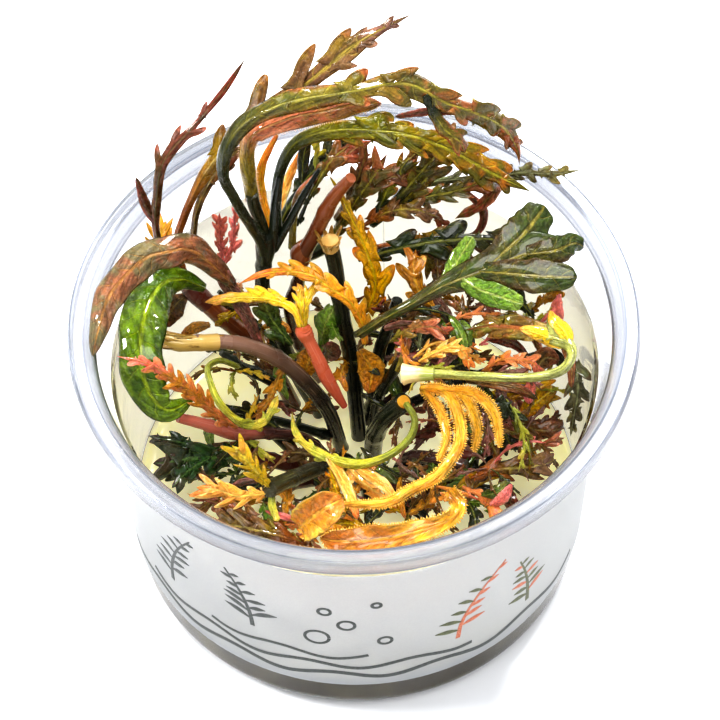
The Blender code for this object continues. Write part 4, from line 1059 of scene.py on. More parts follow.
leaf("arching_leaf", bronze, [
    (-16, 19.5, 63.4, 2.2), (-18.5, 18, 71, 2.1), (-20.5, 17.5, 78, 2.1), (-22, 17.5, 84, 2.3),
    (-21, 19, 90, 3.2), (-17, 21.5, 94, 4.6), (-10, 23.5, 96, 5), (0, 25.5, 96, 5), (9.5, 28, 95, 5.2),
    (16.5, 27, 91, 5), (22.5, 27.5, 87, 5), (27, 28.5, 82, 4.4), (29.5, 28.5, 76, 3),
    (30, 28.5, 72, 1.6)], start=0.26, body=0.72, fold=-0.25, ruffle=0.22, fingers=[
    (0.42, -1, 4, 2.4, 66), (0.54, -1, 6, 3, 60), (0.62, -1, 6.6, 2.4, 74), (0.71, -1, 5.8, 2.6, 66),
    (0.8, -1, 7, 3, 72), (0.87, -1, 6, 2.6, 70), (0.93, -1, 3, 1.8, 66), (0.61, 1, 6.4, 2.7, 50),
    (0.54, 1, 5, 2.4, 58), (0.76, 1, 4.6, 2, 62), (0.84, 1, 4.4, 2, 60), (0.91, 1, 3.4, 1.6, 60)])
sprout("arching_leaf", bronze, [
    (13, 27, 93, 1.6), (16, 25, 87, 3), (19, 24, 84, 3), (20, 24, 81, 1.6)], body=0.8, fingers=[
    (0.62, -1, 3.4, 1.5, 50), (0.7, 1, 3.6, 1.6, 50)])
sprout("arching_leaf", wine, [(19.5, 27, 88.5, 1), (14, 28.5, 87, 1.5), (8, 30, 84, 0.7)])
leaf("rolled_leaf", russet, [
    (-17.5, 22.5, 70, 2.4), (-18, 23, 77, 2.6), (-18, 24, 83, 2.8), (-16.5, 25, 86, 3.2),
    (-10.5, 27, 87.5, 3.8), (-4.5, 28, 88, 3.8), (1, 29.5, 88, 3.4), (5.5, 30.5, 87, 2)], droop=1.1,
    ruffle=0.3, fold=0.3)
leaf("olive_leaf", olive_green, [
    (-13.5, 22, 60, 2.3), (-13.5, 24.5, 67, 2.2), (-12.5, 26.5, 74, 2.2), (-9.5, 28.5, 79, 2.8),
    (-3.5, 29.5, 81, 4.4), (3.5, 29.5, 81, 5), (10.5, 29, 80, 5.2), (17.5, 28, 77, 5.4),
    (24.5, 27, 72, 5), (32, 25.5, 68, 1.8)], start=0.32, body=0.66, ruffle=0.2, fingers=[
    (0.43, 1, 5.4, 2.3, 60), (0.52, 1, 6.6, 2.5, 66), (0.6, 1, 6.6, 2.4, 64), (0.68, 1, 6, 2.4, 68),
    (0.5, -1, 6, 3.4, 62), (0.57, -1, 4.6, 2.6, 66), (0.65, -1, 5.4, 2.4, 70), (0.74, -1, 8, 2.8, 70),
    (0.84, -1, 7, 3, 72), (0.82, 1, 7, 3, 70), (0.75, 1, 5.6, 2.2, 66), (0.91, 1, 3.4, 1.8, 60)])
sprout("olive_leaf", russet, [
    (24, 27, 72, 1.2), (26, 30.5, 63, 2.6), (24, 31, 58, 2.8), (19, 31.5, 53, 1.2)], body=0.8, fingers=[
    (0.5, 1, 3.6, 1.4, 62)])

# %% Leaves behind the stems
leaf("back_shoot", deep_green, [
    (-14.5, 26.5, 55, 1.6), (-11.5, 29, 60, 2), (-8.5, 32, 64, 3), (-5, 34, 67, 4.6), (-2, 36, 69, 3.6),
    (0.5, 37.5, 70, 1)], lobes=4, start=0.3)
sprout("back_shoot", deep_green, [(-9, 31.5, 63, 1), (-8.5, 34.5, 68, 2.2), (-7.5, 36, 71, 1)])
sprout("back_shoot", peach, [(-14.5, 26.5, 55, 1), (-12.5, 34.5, 58, 2), (-9, 39.5, 64, 0.7)])
sprout("back_shoot", orange, [(-14.5, 26.5, 55, 1), (-16.5, 33.5, 64, 1.6), (-13, 38, 71, 0.7)])
leaf("curved_leaf", russet, [
    (-11, 23, 56, 1.6), (-10.5, 24.5, 62, 1.4), (-9.5, 26.5, 67, 1.5), (-6, 30, 68, 1.8),
    (-2, 33, 69, 3.5), (1.5, 35, 70, 4.4), (4, 35.5, 71, 2)], lobes=2, start=0.55)
leaf("dark_leaf", bronze, [
    (-12.5, 25.5, 46, 1), (-9, 26, 49, 2.2), (-5, 26.5, 52, 2.8), (-2, 27.5, 57, 2.6),
    (1, 28.5, 63, 3.2), (4, 29.5, 68, 4.4), (6.5, 31.5, 72, 2)], lobes=5, start=0.35)
leaf("forked_leaf", bronze, [
    (3.5, 28, 56, 1.6), (8, 29.5, 60, 2.8), (11, 30, 63, 4.2), (13.5, 30.5, 66, 4.8),
    (15.5, 32.5, 70, 2)], lobes=3, start=0.25)
sprout("forked_leaf", bronze, [(10, 30, 62, 1), (9, 32, 67, 3), (13, 34.5, 70, 1)], lobes=2)
leaf("grey_leaf", grey_green, [
    (12.5, 37, 53, 1), (13.5, 36.5, 57, 1.4), (19, 35, 60, 2.8), (25, 33.5, 62, 3),
    (30.5, 31.5, 66, 2.6), (35.5, 27, 71, 2.6), (40.5, 24.5, 75, 1)], lobes=6, start=0.15)
sprout("grey_leaf", russet, [
    (12.5, 37, 53.2, 1), (14, 37, 50, 2.8), (15.5, 36, 48, 2), (18.5, 34.5, 46, 0.8)], lobes=3)
leaf("flat_leaf", olive_gold, [
    (4.5, 29, 48, 1.2), (9, 28.5, 49, 3), (13.5, 29, 50, 5), (19, 28, 50, 4.2), (27, 28.5, 50, 1)],
    lobes=5, start=0.1)
sprout("flat_leaf", olive_gold, [(11, 28.5, 49, 1.4), (14, 27, 47, 4), (15, 25.5, 44, 0.8)], lobes=2)
print("pieces so far:", len(grown))

# %% [markdown]
# ## Leaves on the left
#
# Two of these are the widest of all: a copper one that hangs over the rim and, under it, a
# glossy green one curled like a half moon. Neither is lobed.

# %% Leaves on the left
leaf("copper_leaf", copper, [
    (-21.5, 14, 57, 2.2), (-25, 13.5, 64, 4), (-28.5, 13, 69, 5.6), (-32.5, 11, 71, 5.6),
    (-36.5, 9.5, 71, 5.8), (-42, 3, 70, 5.2), (-44, -3.5, 68.5, 3.2), (-45, -8, 66.9, 1.6)], droop=0.3,
    ruffle=0.16, fold=-0.1)
sprout("copper_leaf", mauve, [
    (-23.5, 14.5, 60.5, 3), (-22, 14, 56, 2.8), (-19, 12, 49, 2.2), (-17, 9.5, 44, 1.4)], fold=0.4)
leaf("glossy_leaf", glossy_green, [
    (-27, 18, 51, 1.6), (-30.5, 17, 55, 4), (-34, 14, 58, 6.6), (-36.5, 8, 59.5, 8),
    (-37.5, 1.5, 59, 8.2), (-37.5, -3, 56.5, 7.8), (-36, -6.5, 52.5, 6.6), (-33, -8, 50, 4.5),
    (-28.5, -4, 48, 0.8)], droop=0.15, ruffle=0.05)
leaf("frilly_leaf", orange, [
    (-32.5, 20, 52, 1.6), (-34, 20, 56, 4), (-34.5, 22, 58, 5), (-34.5, 24, 60, 4), (-33.5, 26, 61, 1)],
    lobes=4, start=0.08, ruffle=0.3)
leaf("pink_tip_leaf", pink, [
    (-21.5, -4.5, 39, 1.8), (-25, -5.5, 45, 3.4), (-28.5, -6, 52, 3.6), (-32, -7.5, 59, 2.8),
    (-35.5, -8, 64, 2.2), (-41, -7.5, 66, 0.6)], lobes=9, body=0.5, reach=1.1, plump=0.34)
leaf("yellow_loop_leaf", lime, [
    (-21, 4, 46, 1.1), (-24, 2.5, 50, 1.2), (-26, -1, 53, 1.2), (-25.5, -5, 54, 1.3),
    (-24, -8.5, 53, 1.5), (-21.5, -10, 50, 2), (-19, -9.5, 47, 2.4), (-16.5, -7.5, 45, 2),
    (-15, -3.5, 43, 2.2), (-14, 1, 41, 1.6)], start=0.45, ruffle=0.4, body=0.7, fingers=[
    (0.62, -1, 2.6, 1.2, 60), (0.7, 1, 2.8, 1.2, 62), (0.78, -1, 2.6, 1.1, 60),
    (0.86, 1, 2.4, 1.1, 62)])
leaf("coral_back_shoot", coral, [
    (-24, 24.5, 49, 1.2), (-24, 25.5, 54, 2.2), (-24, 26.5, 58, 2.2), (-24, 27.5, 61, 1)], lobes=5)
sprout("coral_back_shoot", coral, [
    (-24, 24.4, 49.5, 1), (-22, 26, 53, 2.2), (-21.5, 28, 57, 1.8), (-21, 30, 61, 0.6)], lobes=4)
print("pieces so far:", len(grown))

# %% [markdown]
# ## Leaves in the middle
#
# Young leaves lie across the stems here. They are orange, yellow and gold, deeply cut, and thin
# enough for light to come through.

# %% Leaves in the middle
leaf("orange_leaf", orange, [
    (2, 8.5, 46, 1.6), (1.5, 9.5, 51, 2.6), (-0.5, 10.5, 56, 3.2), (-4, 11.5, 59, 3.4),
    (-7.5, 13, 61, 3.4), (-11, 13.5, 61.5, 2.6), (-16, 13.5, 61, 1.8), (-20.5, 12, 60, 0.9)], body=0.62,
    ruffle=0.3, fingers=[
    (0.12, 1, 3, 1.6, 58), (0.22, 1, 3.6, 2, 56), (0.33, 1, 3.8, 1.8, 60), (0.42, 1, 4.4, 2, 62),
    (0.52, 1, 4.2, 1.9, 64), (0.62, 1, 4, 1.7, 66), (0.7, 1, 3, 1.3, 64), (0.3, -1, 2.6, 1.3, 64),
    (0.46, -1, 3.2, 1.5, 62), (0.57, -1, 3, 1.3, 64), (0.78, -1, 2.2, 0.9, 66)])
leaf("yellow_leaf", yellow, [
    (-9.5, 6, 55, 1.3), (-10.5, 8, 57, 1.5), (-12.5, 9.5, 57.5, 1.9), (-16.5, 10.5, 58, 2),
    (-22, 10.5, 58, 2), (-26.5, 10, 57.5, 1.5)], body=0.9, ruffle=0.35, fingers=[
    (0.3, 1, 3.6, 1.5, 64), (0.4, 1, 3.8, 1.5, 66), (0.5, 1, 3.2, 1.4, 64), (0.7, 1, 2.2, 1.1, 64),
    (0.55, -1, 2, 1, 62), (0.85, -1, 1.8, 1, 60)])
sprout("coral_shoot", yellow,
       [(-9, 7, 52, 1.2), (-8.5, 9.5, 57, 1.6), (-7, 12, 58.5, 1.6), (-5.5, 14, 58, 1)],
       [(-9, 7, 52, 1.2), (-9.5, 9, 57, 1.7), (-9.5, 12, 58, 1.5), (-10, 13.5, 58, 0.8)],
       body=0.9, fingers=[(0.6, -1, 2.4, 0.9, 50), (0.72, 1, 2, 0.8, 55), (0.82, -1, 1.8, 0.8, 50)])
leaf("golden_leaf", golden, [
    (2, 15.5, 46, 1.8), (3.5, 16, 50, 3.6), (4, 17, 54, 4.4), (3, 18.5, 58, 4.8), (1.5, 20.5, 62, 4),
    (-0.5, 23, 66, 2.6), (-2, 25, 69, 1.5), (-4, 27.5, 71.5, 0.7)], body=0.55, ruffle=0.25, fingers=[
    (0.04, 1, 4.6, 2.4, 62), (0.2, 1, 6.4, 2.6, 70), (0.42, 1, 5.8, 2.6, 72), (0.1, -1, 3.4, 2, 60),
    (0.26, -1, 3.8, 2.2, 62), (0.42, -1, 3.8, 2.2, 62), (0.57, -1, 3, 1.9, 60), (0.7, -1, 2.4, 1.3, 56),
    (0.6, 1, 3.4, 1.6, 66), (0.76, 1, 1.8, 1, 60)])
leaf("green_shoot", fresh_green, [
    (-11.5, 11.5, 42, 1.6), (-14.5, 13.5, 46, 3.4), (-16, 14.5, 50, 3.6), (-17, 15, 53, 1.8)],
    body=0.66, fingers=[
    (0.15, -1, 4, 1.9, 56), (0.45, 1, 4, 1.9, 58), (0.5, -1, 4.4, 2, 64), (0.7, 1, 3, 1.4, 66)])
leaf("centre_shoot", bright_green, [
    (-6, 14.5, 34, 1.4), (-5.5, 18, 39, 3.4), (-4.5, 20, 43, 1.6)], body=0.7, fingers=[
    (0.3, 1, 3.4, 1.6, 55), (0.45, -1, 3.4, 1.6, 55)])
sprout("centre_shoot", mauve, [(-6, 14.5, 34.2, 1), (-4.5, 12.5, 38, 3.8), (-4.2, 12, 42, 1.2)])
print("pieces so far:", len(grown))

# %% [markdown]
# ## Leaves on the right
#
# A wide dark leaf with finger-like lobes reaches to the wall. A pale stalk lies over everything,
# bends back on itself and opens into a bronze blade. Under its cut end hang leaves so finely cut
# that their margins look furry.

# %% Leaves on the right
leaf("big_leaf", wide_green, [
    (1, 7, 51, 2), (5.5, 7.5, 55, 2.2), (10.5, 8.5, 58, 2.4), (15.5, 10.5, 60, 3.2),
    (21, 12, 61.5, 5.4), (26, 13.5, 62.5, 7), (31.5, 15.5, 63, 7.4), (36, 16, 63, 5.6),
    (39, 15.5, 62.5, 2.4)], start=0.3, ruffle=0.06)
sprout("big_leaf", bright_green, [
    (16.5, 11, 60.2, 2.4), (18.8, 15, 62, 3.4), (21.5, 19, 63.5, 2.4)], ruffle=0.05)
sprout("big_leaf", wide_green,
       [(24, 13, 62.2, 3.6), (27.5, 16, 63.6, 6), (31, 19, 65, 7.2), (34.5, 23.2, 66.6, 5)],
       [(22.5, 12.5, 61.8, 3), (27.5, 11.6, 62.2, 5), (33.5, 10.8, 62.3, 6), (39.7, 10.5, 62.3, 3.4)],
       [(31, 15.2, 63, 3), (36, 15.5, 63.6, 5), (39.5, 17.5, 63, 3.6), (41.5, 18, 61.2, 1.8)],
       ruffle=0.05, droop=0.05)
sprout("big_leaf", bright_green, [
    (19.5, 11.5, 61, 2.4), (22, 9.5, 60.8, 3.6), (25.5, 8, 60.5, 4.4), (30, 6, 60.5, 2.6)], ruffle=0.06)
leaf("gold_lobed_shoot", ochre, [
    (16, 14.5, 46, 1.2), (12, 17, 50, 4.6), (11, 20, 53, 4.2), (11.5, 23, 55, 1.4)], lobes=3, start=0.1)
sprout("gold_lobed_shoot", umber, [
    (16, 14.5, 46.2, 1), (15.5, 20, 50, 2.4), (15.5, 25, 52, 1)], lobes=3)
leaf("pale_petiole_leaf", glassy_bronze, [
    (10, -4, 54, 2.6), (12, -4.2, 54.2, 2), (15, -4.5, 54.5, 1.8), (22, -5.5, 55, 1.8),
    (29, -6, 55, 1.8), (34, -5.5, 55, 1.9), (37, -4, 55, 2), (38.5, -1, 55, 2.1), (37.5, 1.5, 55, 3.4),
    (33, 4, 55, 6), (28.5, 5.5, 54.5, 7), (24, 6.5, 53.5, 5), (20, 6.5, 52.5, 1.2)], start=0.58,
    body=0.62, ruffle=0.3, fingers=[
    (0.68, 1, 4.4, 2.2, 50), (0.74, -1, 4.6, 2.4, 58), (0.79, 1, 4.8, 2.4, 60), (0.84, -1, 5, 2.6, 62),
    (0.88, 1, 4.2, 2.2, 64), (0.92, -1, 3.6, 1.8, 62)])
sprout("pale_petiole_leaf", yellow,
       [(38, 0.5, 55, 1.6), (37.5, 3, 56, 2.6), (35.5, 5.5, 56.6, 2), (35, 7.5, 56.4, 0.8)],
       [(37.8, 1, 55, 1.6), (35.5, 2.5, 54.6, 3), (32, 3.5, 55.6, 2.4), (29.5, 4.6, 55.4, 0.8)],
       ruffle=0.3)
leaf("fuzzy_leaf", amber_strand, [
    (11.5, -4.5, 50, 1.4), (15.5, -5.5, 51, 1.8), (17.5, -8, 50.5, 1.9), (18.5, -13, 49, 1.8),
    (17.5, -16.5, 47.5, 1.8), (14, -20.5, 46, 1.8), (9.5, -22.5, 45, 1.8), (5, -24.5, 44, 1.6),
    (-3, -24, 43, 0.9)], ruffle=0.5, droop=0.5)
sprout("fuzzy_leaf", amber_strand,
       [(15.5, -5.5, 51, 1), (19.5, -7, 50.5, 1.7), (21.5, -10.5, 47, 1.6), (21, -14, 44, 0.8)],
       [(15.5, -5.5, 51.2, 1), (21, -7, 52, 1.7), (24.5, -10, 50, 1.7), (25.5, -14.5, 46, 0.8)],
       [(12, -4.7, 50.2, 1), (14.8, -8.5, 49.5, 1.4), (16, -13.5, 48, 1.2), (14.5, -17.5, 46.6, 0.8)],
       ruffle=0.5, droop=0.5)
leaf("ring_leaf", lime, [
    (9, -5.5, 47, 1.3), (10.5, -8.5, 46.5, 1.4), (9.5, -12, 45.5, 1.5), (5.5, -15, 44.5, 1.6),
    (0.5, -16, 43.5, 2), (-4.5, -14, 42.5, 2.4), (-9, -10, 41, 1.9), (-11, -6, 40, 1.5),
    (-11.5, -2, 40, 0.9)], start=0.5, ruffle=0.4, body=0.75, fingers=[
    (0.56, 1, 2.2, 1.1, 62), (0.64, -1, 2.6, 1.2, 60), (0.72, 1, 2.4, 1.1, 60), (0.82, -1, 2, 1, 60)])
sprout("ring_leaf", peach,
       [(-1, -15.5, 43.5, 1.2), (2, -17.5, 42.5, 2.2), (5, -19, 41, 2), (7, -22, 40, 0.8)],
       [(-5, -13.5, 42.4, 1.2), (-3, -16.5, 41.4, 2.2), (-1, -21, 40, 2), (0, -24, 38, 0.8)],
       ruffle=0.4)
leaf("coral_right_leaf", coral, [
    (37, 11.5, 56, 1.2), (36.5, 9.5, 54, 4.6), (36, 8, 51, 4.6), (37, 6.5, 49, 0.8)], lobes=4)
leaf("wall_leaf", grey_green, [
    (38.5, 5, 46, 1.4), (39.5, 2, 47, 4), (40, 0, 46, 4), (40, -2, 43, 3.4), (39.5, -3.5, 40, 2.2),
    (39, -5, 35, 1.4)], lobes=4)
leaf("gold_back_leaf", ochre, [
    (32.5, 17.5, 42, 1.2), (35, 18, 46, 2.5), (36.5, 17, 49, 3.4), (37.5, 17, 52, 1.2)], lobes=3)
leaf("curl_shoot", olive_green, [
    (25.5, -4.5, 47, 3.6), (28, -6.5, 44.5, 2.8), (30.5, -9.5, 42, 1.6), (31, -12.5, 40, 1.3),
    (31, -14.5, 37, 1.1)], lobes=3)
sprout("curl_shoot", mauve, [(26, -5, 46.6, 1), (26.5, -2, 45.5, 3.4), (25.5, 1, 46, 0.8)], lobes=3)
leaf("lower_gold_leaf", olive_gold, [
    (20.5, -14.5, 36, 1.4), (24.5, -13.5, 37, 4.5), (29.5, -13, 37, 5), (33.5, -12.5, 37, 3),
    (36, -11, 36.5, 0.8)], lobes=4)
leaf("gold_hook_leaf", peach, [
    (11.5, 1.5, 50, 1.2), (14.5, 2, 52, 2.4), (18, 2.5, 53, 2.6), (20, 1.5, 51, 2.4), (20.5, 0, 49, 1)],
    lobes=5)
leaf("arch_shoot", russet, [
    (6.5, 6, 50, 1), (8.5, 5.5, 53, 2), (11.5, 5.5, 55, 2.8), (14.5, 4.5, 56, 2.8), (17, 4, 54.5, 1.2)],
    lobes=4)
sprout("arch_shoot", pink, [(8.5, 5.5, 53, 1), (9, 3.5, 49.5, 1.8), (11.5, 0.5, 49, 0.7)], lobes=2)
leaf("pink_arch_leaf", pink, [
    (23, 2, 46, 1.2), (26, 2.5, 48.5, 1.9), (29, 1.5, 50, 2.2), (32, 1, 49.5, 2), (33.5, -0.5, 47, 1)],
    lobes=5)
leaf("gold_low_leaf", golden, [
    (24, 3, 37, 1.6), (28.5, 3, 38, 3.8), (33, 2.5, 38, 4.2), (36, 1, 37, 1.2)], lobes=4)
sprout("gold_low_leaf", umber, [
    (25, 3, 37.2, 1), (28.5, -2, 36, 2.6), (34, -4.5, 36, 3.8), (38, -4, 36, 1)], lobes=5)
sprout("mauve_stem", fresh_green, [(14, -3, 25, 1), (14, -8, 28, 3), (13, -12, 29, 0.8)], lobes=3)
sprout("mauve_stem", mauve, [(10, 0, 22, 1), (14, 4, 25, 3), (17, 8, 27, 0.8)], lobes=3)
sprout("leafy_stem", umber, [(6, 16.5, 38, 1), (11, 18, 41, 4), (17, 20, 42, 0.8)], lobes=4)
sprout("leafy_stem", mauve, [(5, 15.5, 32, 1), (11, 14, 33, 3.4), (17, 13, 35, 0.8)], lobes=4)
print("pieces so far:", len(grown))

# %% [markdown]
# ## Leaves low in the front
#
# The front is shaded by the rim. Broad dark green leaves lie on the left, and shiny amber and
# ochre ones bend round inside the front wall.

# %% Leaves low in the front
leaf("dark_front_leaf", maple_green, [
    (-21, -4.5, 29, 2), (-24.5, -7, 33, 5), (-29, -9, 36, 7), (-33, -11, 38, 7), (-36.5, -12, 39, 2.6)],
    lobes=3, start=0.08)
sprout("dark_front_leaf", maple_green,
       [(-25, -7.2, 33.4, 2), (-31, -6.5, 37, 3.6), (-37.5, -6, 39, 1.4)],
       [(-26.5, -8, 34.6, 2), (-30.5, -13, 37.5, 3.8), (-33, -17, 38.5, 1.4)],
       lobes=2, ruffle=0.2)
sprout("olive_shoot", yellow, [
    (-15.5, -20, 43, 1.8), (-18, -20, 49, 3.8), (-20, -19, 52, 3.8), (-21.5, -18.5, 54, 1.4)], lobes=5)
sprout("olive_shoot", peach, [
    (-14.5, -20, 41, 1.4), (-21, -22.5, 44, 4.6), (-24, -22.5, 46, 4.6), (-28, -22.5, 47, 2.4)],
    lobes=5)
sprout("olive_shoot", lime, [(-15, -20.5, 42, 1), (-15, -23, 41.5, 1.4), (-14, -26, 41, 1)])
leaf("front_wall_shoot", olive_gold, [
    (-8, -28, 36, 2), (-14, -27, 38, 4.4), (-20.5, -26, 39.5, 4.8), (-26.5, -25, 40, 1.2)], lobes=5)
sprout("front_wall_shoot", russet, [
    (-10, -27.7, 36.8, 1.2), (-22, -22.5, 40, 3), (-30, -20.5, 42, 0.8)], lobes=5)
leaf("amber_leaf", amber, [
    (-10, -28.5, 43, 4.6), (-8, -28.5, 46, 6.6), (-5, -27.5, 48, 5.8), (-2.5, -26, 48, 1.6)],
    ruffle=0.3, droop=-0.5)
leaf("beige_forked_leaf", peach, [
    (-1.5, -12.5, 37, 2.4), (1, -15.5, 37, 4), (4, -17.5, 36, 2.6), (7, -20, 35, 1.2)], lobes=2)
leaf("ochre_leaf", amber, [
    (16.5, -19.5, 40, 1.8), (18, -23, 40, 2.4), (15.5, -26, 40, 2.8), (9, -28, 39.5, 4),
    (2, -29, 39, 5.2), (-3.5, -29, 39, 3.8), (-6.5, -28, 38.5, 1.2)], ruffle=0.35, droop=-0.3)
leaf("coral_low_shoot", pink, [
    (19, -15, 34, 1.4), (22, -17.5, 35, 2), (24, -20.5, 36, 3), (25, -23.5, 36, 1.2)], lobes=3)
sprout("coral_low_shoot", coral, [(23.8, -20.3, 36, 1), (26, -20, 38, 2.2), (27.5, -18.5, 40, 0.7)])
print("pieces so far:", len(grown))

# %% [markdown]
# ## Small leaves between the stems
#
# Down in the cup every stem carries young leaves, so hardly any jelly is left bare. They are
# made like the large ones, with fewer lobes, and each belongs to the stem or leaf it grows from.
# Thin runners and a few long strands cross the middle.

# %% Small leaves between the stems
sprout("left_rust_stem", umber, [(-31, 20.8, 45, 1.4), (-33.5, 19.8, 42.5, 4.6), (-35, 17.5, 40, 1.6)])
sprout("left_rust_stem", lime, [(-24, 22.5, 41, 1.4), (-22, 22, 37, 4), (-20.5, 20, 34, 1.2)])
sprout("left_rust_stem", ochre, [(-27, 20.8, 36, 1), (-30, 21.5, 34, 2.2), (-32.5, 20.5, 33, 0.9)])
sprout("maroon_stem", ochre, [
    (-13, 9.5, 38, 1.6), (-15, 6.5, 35, 2.8), (-17, 3.5, 33, 2.4), (-19.5, 2, 32, 1)], lobes=3)
sprout("coral_shoot", ochre, [(-9.6, 9.5, 33.5, 1.4), (-8.6, 11, 37, 4.6), (-7.4, 12.4, 40, 1.6)])
sprout("crowned_stem", bright_green, [(-6, 14.5, 40, 1.2), (-5, 15, 44, 4.4), (-3.5, 16.5, 47, 1.4)])
sprout("crowned_stem", ochre, [(1, 12.5, 38.5, 1.4), (3, 10.5, 35, 5.2), (2.5, 8, 31, 1.8)])
sprout("arch_shoot", mauve, [(18, 10, 48, 1.2), (16.5, 12.5, 50, 2), (14.2, 15.3, 52, 0.9)])
sprout("arch_shoot", grey_green, [(17, 8.5, 46, 1.2), (14, 10.5, 48, 3.2), (11, 12, 49, 1.2)])
sprout("arch_shoot", deep_green, [(15.5, 10, 43, 1.2), (12, 11, 44, 3), (8.8, 12, 45, 1)])
sprout("arch_shoot", umber, [
    (21, 9.5, 50.5, 1.2), (19.5, 11.5, 51.6, 3.2), (18, 13.3, 52.4, 1.2)], lobes=2)
sprout("gold_hook_leaf", bright_green, [
    (20.5, 4.5, 50, 1.4), (19.5, 6.5, 51.4, 3.8), (18.5, 8.5, 52.4, 2)])
sprout("gold_hook_leaf", peach,
       [(12, 6, 45, 1), (15.5, 7.5, 46.4, 1.8), (22, 7.8, 46, 0.9)],
       [(13, 3.5, 48.4, 1), (16, 5, 48, 1.6), (21.5, 5.4, 47.4, 0.8)],
       ruffle=0.3)
sprout("pink_arch_leaf", pink, [
    (21.5, 7.5, 49.6, 1), (24.5, 9, 51, 2), (28.5, 9.6, 51.4, 2), (32.5, 8.8, 50.6, 1)], ruffle=0.3)
sprout("pink_arch_leaf", umber, [(32.5, 3, 44, 1.2), (34.5, 5.3, 45, 4), (37, 4.6, 45.2, 1.2)])
sprout("pink_arch_leaf", coral, [(32.5, 3, 43, 1), (31.5, 0.6, 41, 2.2), (31.5, -1, 39.6, 0.9)])
sprout("slant_stem", coral, [(12.8, 6.4, 42, 1), (10.2, 8.4, 43.4, 2.8), (7.7, 11, 44.4, 1)], lobes=3)
sprout("slant_stem", deep_green, [(15.5, 4.8, 40, 1.2), (18.5, 6.5, 41.4, 4), (21.8, 7.4, 42, 1.2)])
sprout("curl_shoot", ochre, [(24, 4, 43.2, 1), (25.5, 2.8, 42.4, 3), (26.5, 1.5, 41, 1)], lobes=2)
sprout("curl_shoot", fresh_green, [(22.7, 2, 42, 1.2), (23.5, 0, 40, 3.2), (23.5, -1.8, 38, 1)])
sprout("curl_shoot", mauve, [(25.5, 0.5, 43, 1.2), (27, -2, 41, 3.4), (28, -5, 38, 1.2)], lobes=2)
sprout("gold_low_leaf", golden, [(30, -1.2, 35.6, 1.2), (33, 1, 37.2, 4), (36.6, 3, 39, 1.4)])
sprout("gold_low_leaf", wine, [
    (30, -2, 34.4, 1), (33.5, -2.5, 35, 2.4), (37.5, -1.2, 36.4, 1)], lobes=3)
sprout("front_stem", russet, [
    (30.5, -8.2, 34, 1), (34.5, -8.4, 38, 2.2), (37.6, -7.6, 38.2, 0.9)], lobes=2)
sprout("front_stem", fresh_green, [
    (24, -9, 27, 1.2), (20.5, -10, 29, 3.6), (15, -10, 30, 1.2)], lobes=3)
sprout("olive_shoot", fresh_green, [(-2.4, -4, 27, 1.2), (3, -7.5, 29, 3.6), (9, -9, 30, 1.2)], lobes=3)
sprout("olive_shoot", umber, [(-5, -7.5, 31, 1.2), (-9, -5.5, 31.6, 3.4), (-14, -5.5, 32, 1)], lobes=3)
sprout("mauve_stem", wine, [(8, 1, 24, 1.2), (13, 2, 27, 2.8), (19, 1, 30, 1)], lobes=3)
sprout("pink_stem", deep_green, [(-12, 1, 27, 1.2), (-17.5, 3.5, 30, 3.6), (-23, 4.5, 33, 1)], lobes=3)
sprout("coral_low_shoot", fresh_green, [
    (22.4, -17.8, 35.4, 1), (25, -18.8, 38, 2.6), (27, -17.6, 39.4, 1)])
sprout("amber_leaf", golden, [(-9.4, -27.6, 43.6, 1), (-6, -25.6, 41.6, 2.2), (-2, -25, 41.4, 1)])
grow("beige_stem", stem("tangled_root", [
    (-24.5, 11.5, 40, 1.2), (-21, 11, 36, 2), (-17.5, 11.5, 32.5, 2.2), (-13, 11, 28, 1.6)],
    dark_bark, 6, 0.4))
grow("maroon_stem", stem("low_side_stem", [
    (-24.5, 6, 30, 1.6), (-19, 5, 28, 2.2), (-13, 2, 23, 2.2), (-7.5, -0.5, 15, 1.6)],
    dark_bark, 7, 0.3))
grow("mauve_stem", stem("right_side_stem", [
    (30.5, -1, 27, 1.2), (22, -2.5, 25.5, 2), (14.5, -1.5, 23, 2.2), (8.4, 1.2, 16, 1.8)],
    maroon_bark, 7, 0.3))
grow("olive_shoot", stem("front_side_stem", [
    (13, -9.5, 25, 1.4), (6, -7, 23, 2), (0.6, -2.5, 19, 2)], maroon_bark, 7, 0.3))

sprout("forked_leaf", bronze,
       [(5, 28.5, 57, 1.6), (9.5, 30, 63, 2.4), (13.5, 31, 69, 4.6), (17, 32, 73, 4), (20, 33, 75, 1)],
       [(7, 29, 58, 1.4), (13, 30, 61, 3), (19, 30, 63, 4), (25, 30, 66, 1.2)],
       lobes=4, start=0.3)
sprout("forked_leaf", olive_green, [
    (4, 28, 56, 1.4), (6, 30, 62, 3), (9, 32, 66, 4.2), (12.5, 33, 68, 1.2)], lobes=4, start=0.2)
sprout("forked_leaf", wine, [
    (20, 33, 60, 0.8), (24, 31, 56, 1.6), (23, 29, 52, 1.2), (18, 28, 50, 0.7)])
sprout("dark_leaf", umber,
       [(-3, 28, 58, 1.2), (2, 30, 64, 3.4), (7, 31, 66, 4.4), (11, 31, 65, 1.4)],
       [(-4, 27, 52, 1.2), (-1, 29, 60, 1.8), (2, 32, 68, 3.4), (3, 34, 72, 1)],
       lobes=3, start=0.3)
sprout("dark_leaf", olive_gold, [
    (1, 27, 56, 1.2), (6, 27.5, 60, 3.6), (11, 27.5, 61, 4), (16, 27, 59, 1)], lobes=4)
sprout("curved_leaf", bronze, [
    (-10, 25, 60, 1.4), (-7, 28, 66, 1.8), (-3.5, 31, 71, 3.6), (0, 33, 73, 1)], lobes=3)
sprout("back_shoot", lime, [
    (-8, 31, 62, 0.8), (-6.5, 33.5, 66, 2.4), (-6, 35.5, 70, 2), (-6.5, 37, 72, 0.7)], lobes=2)
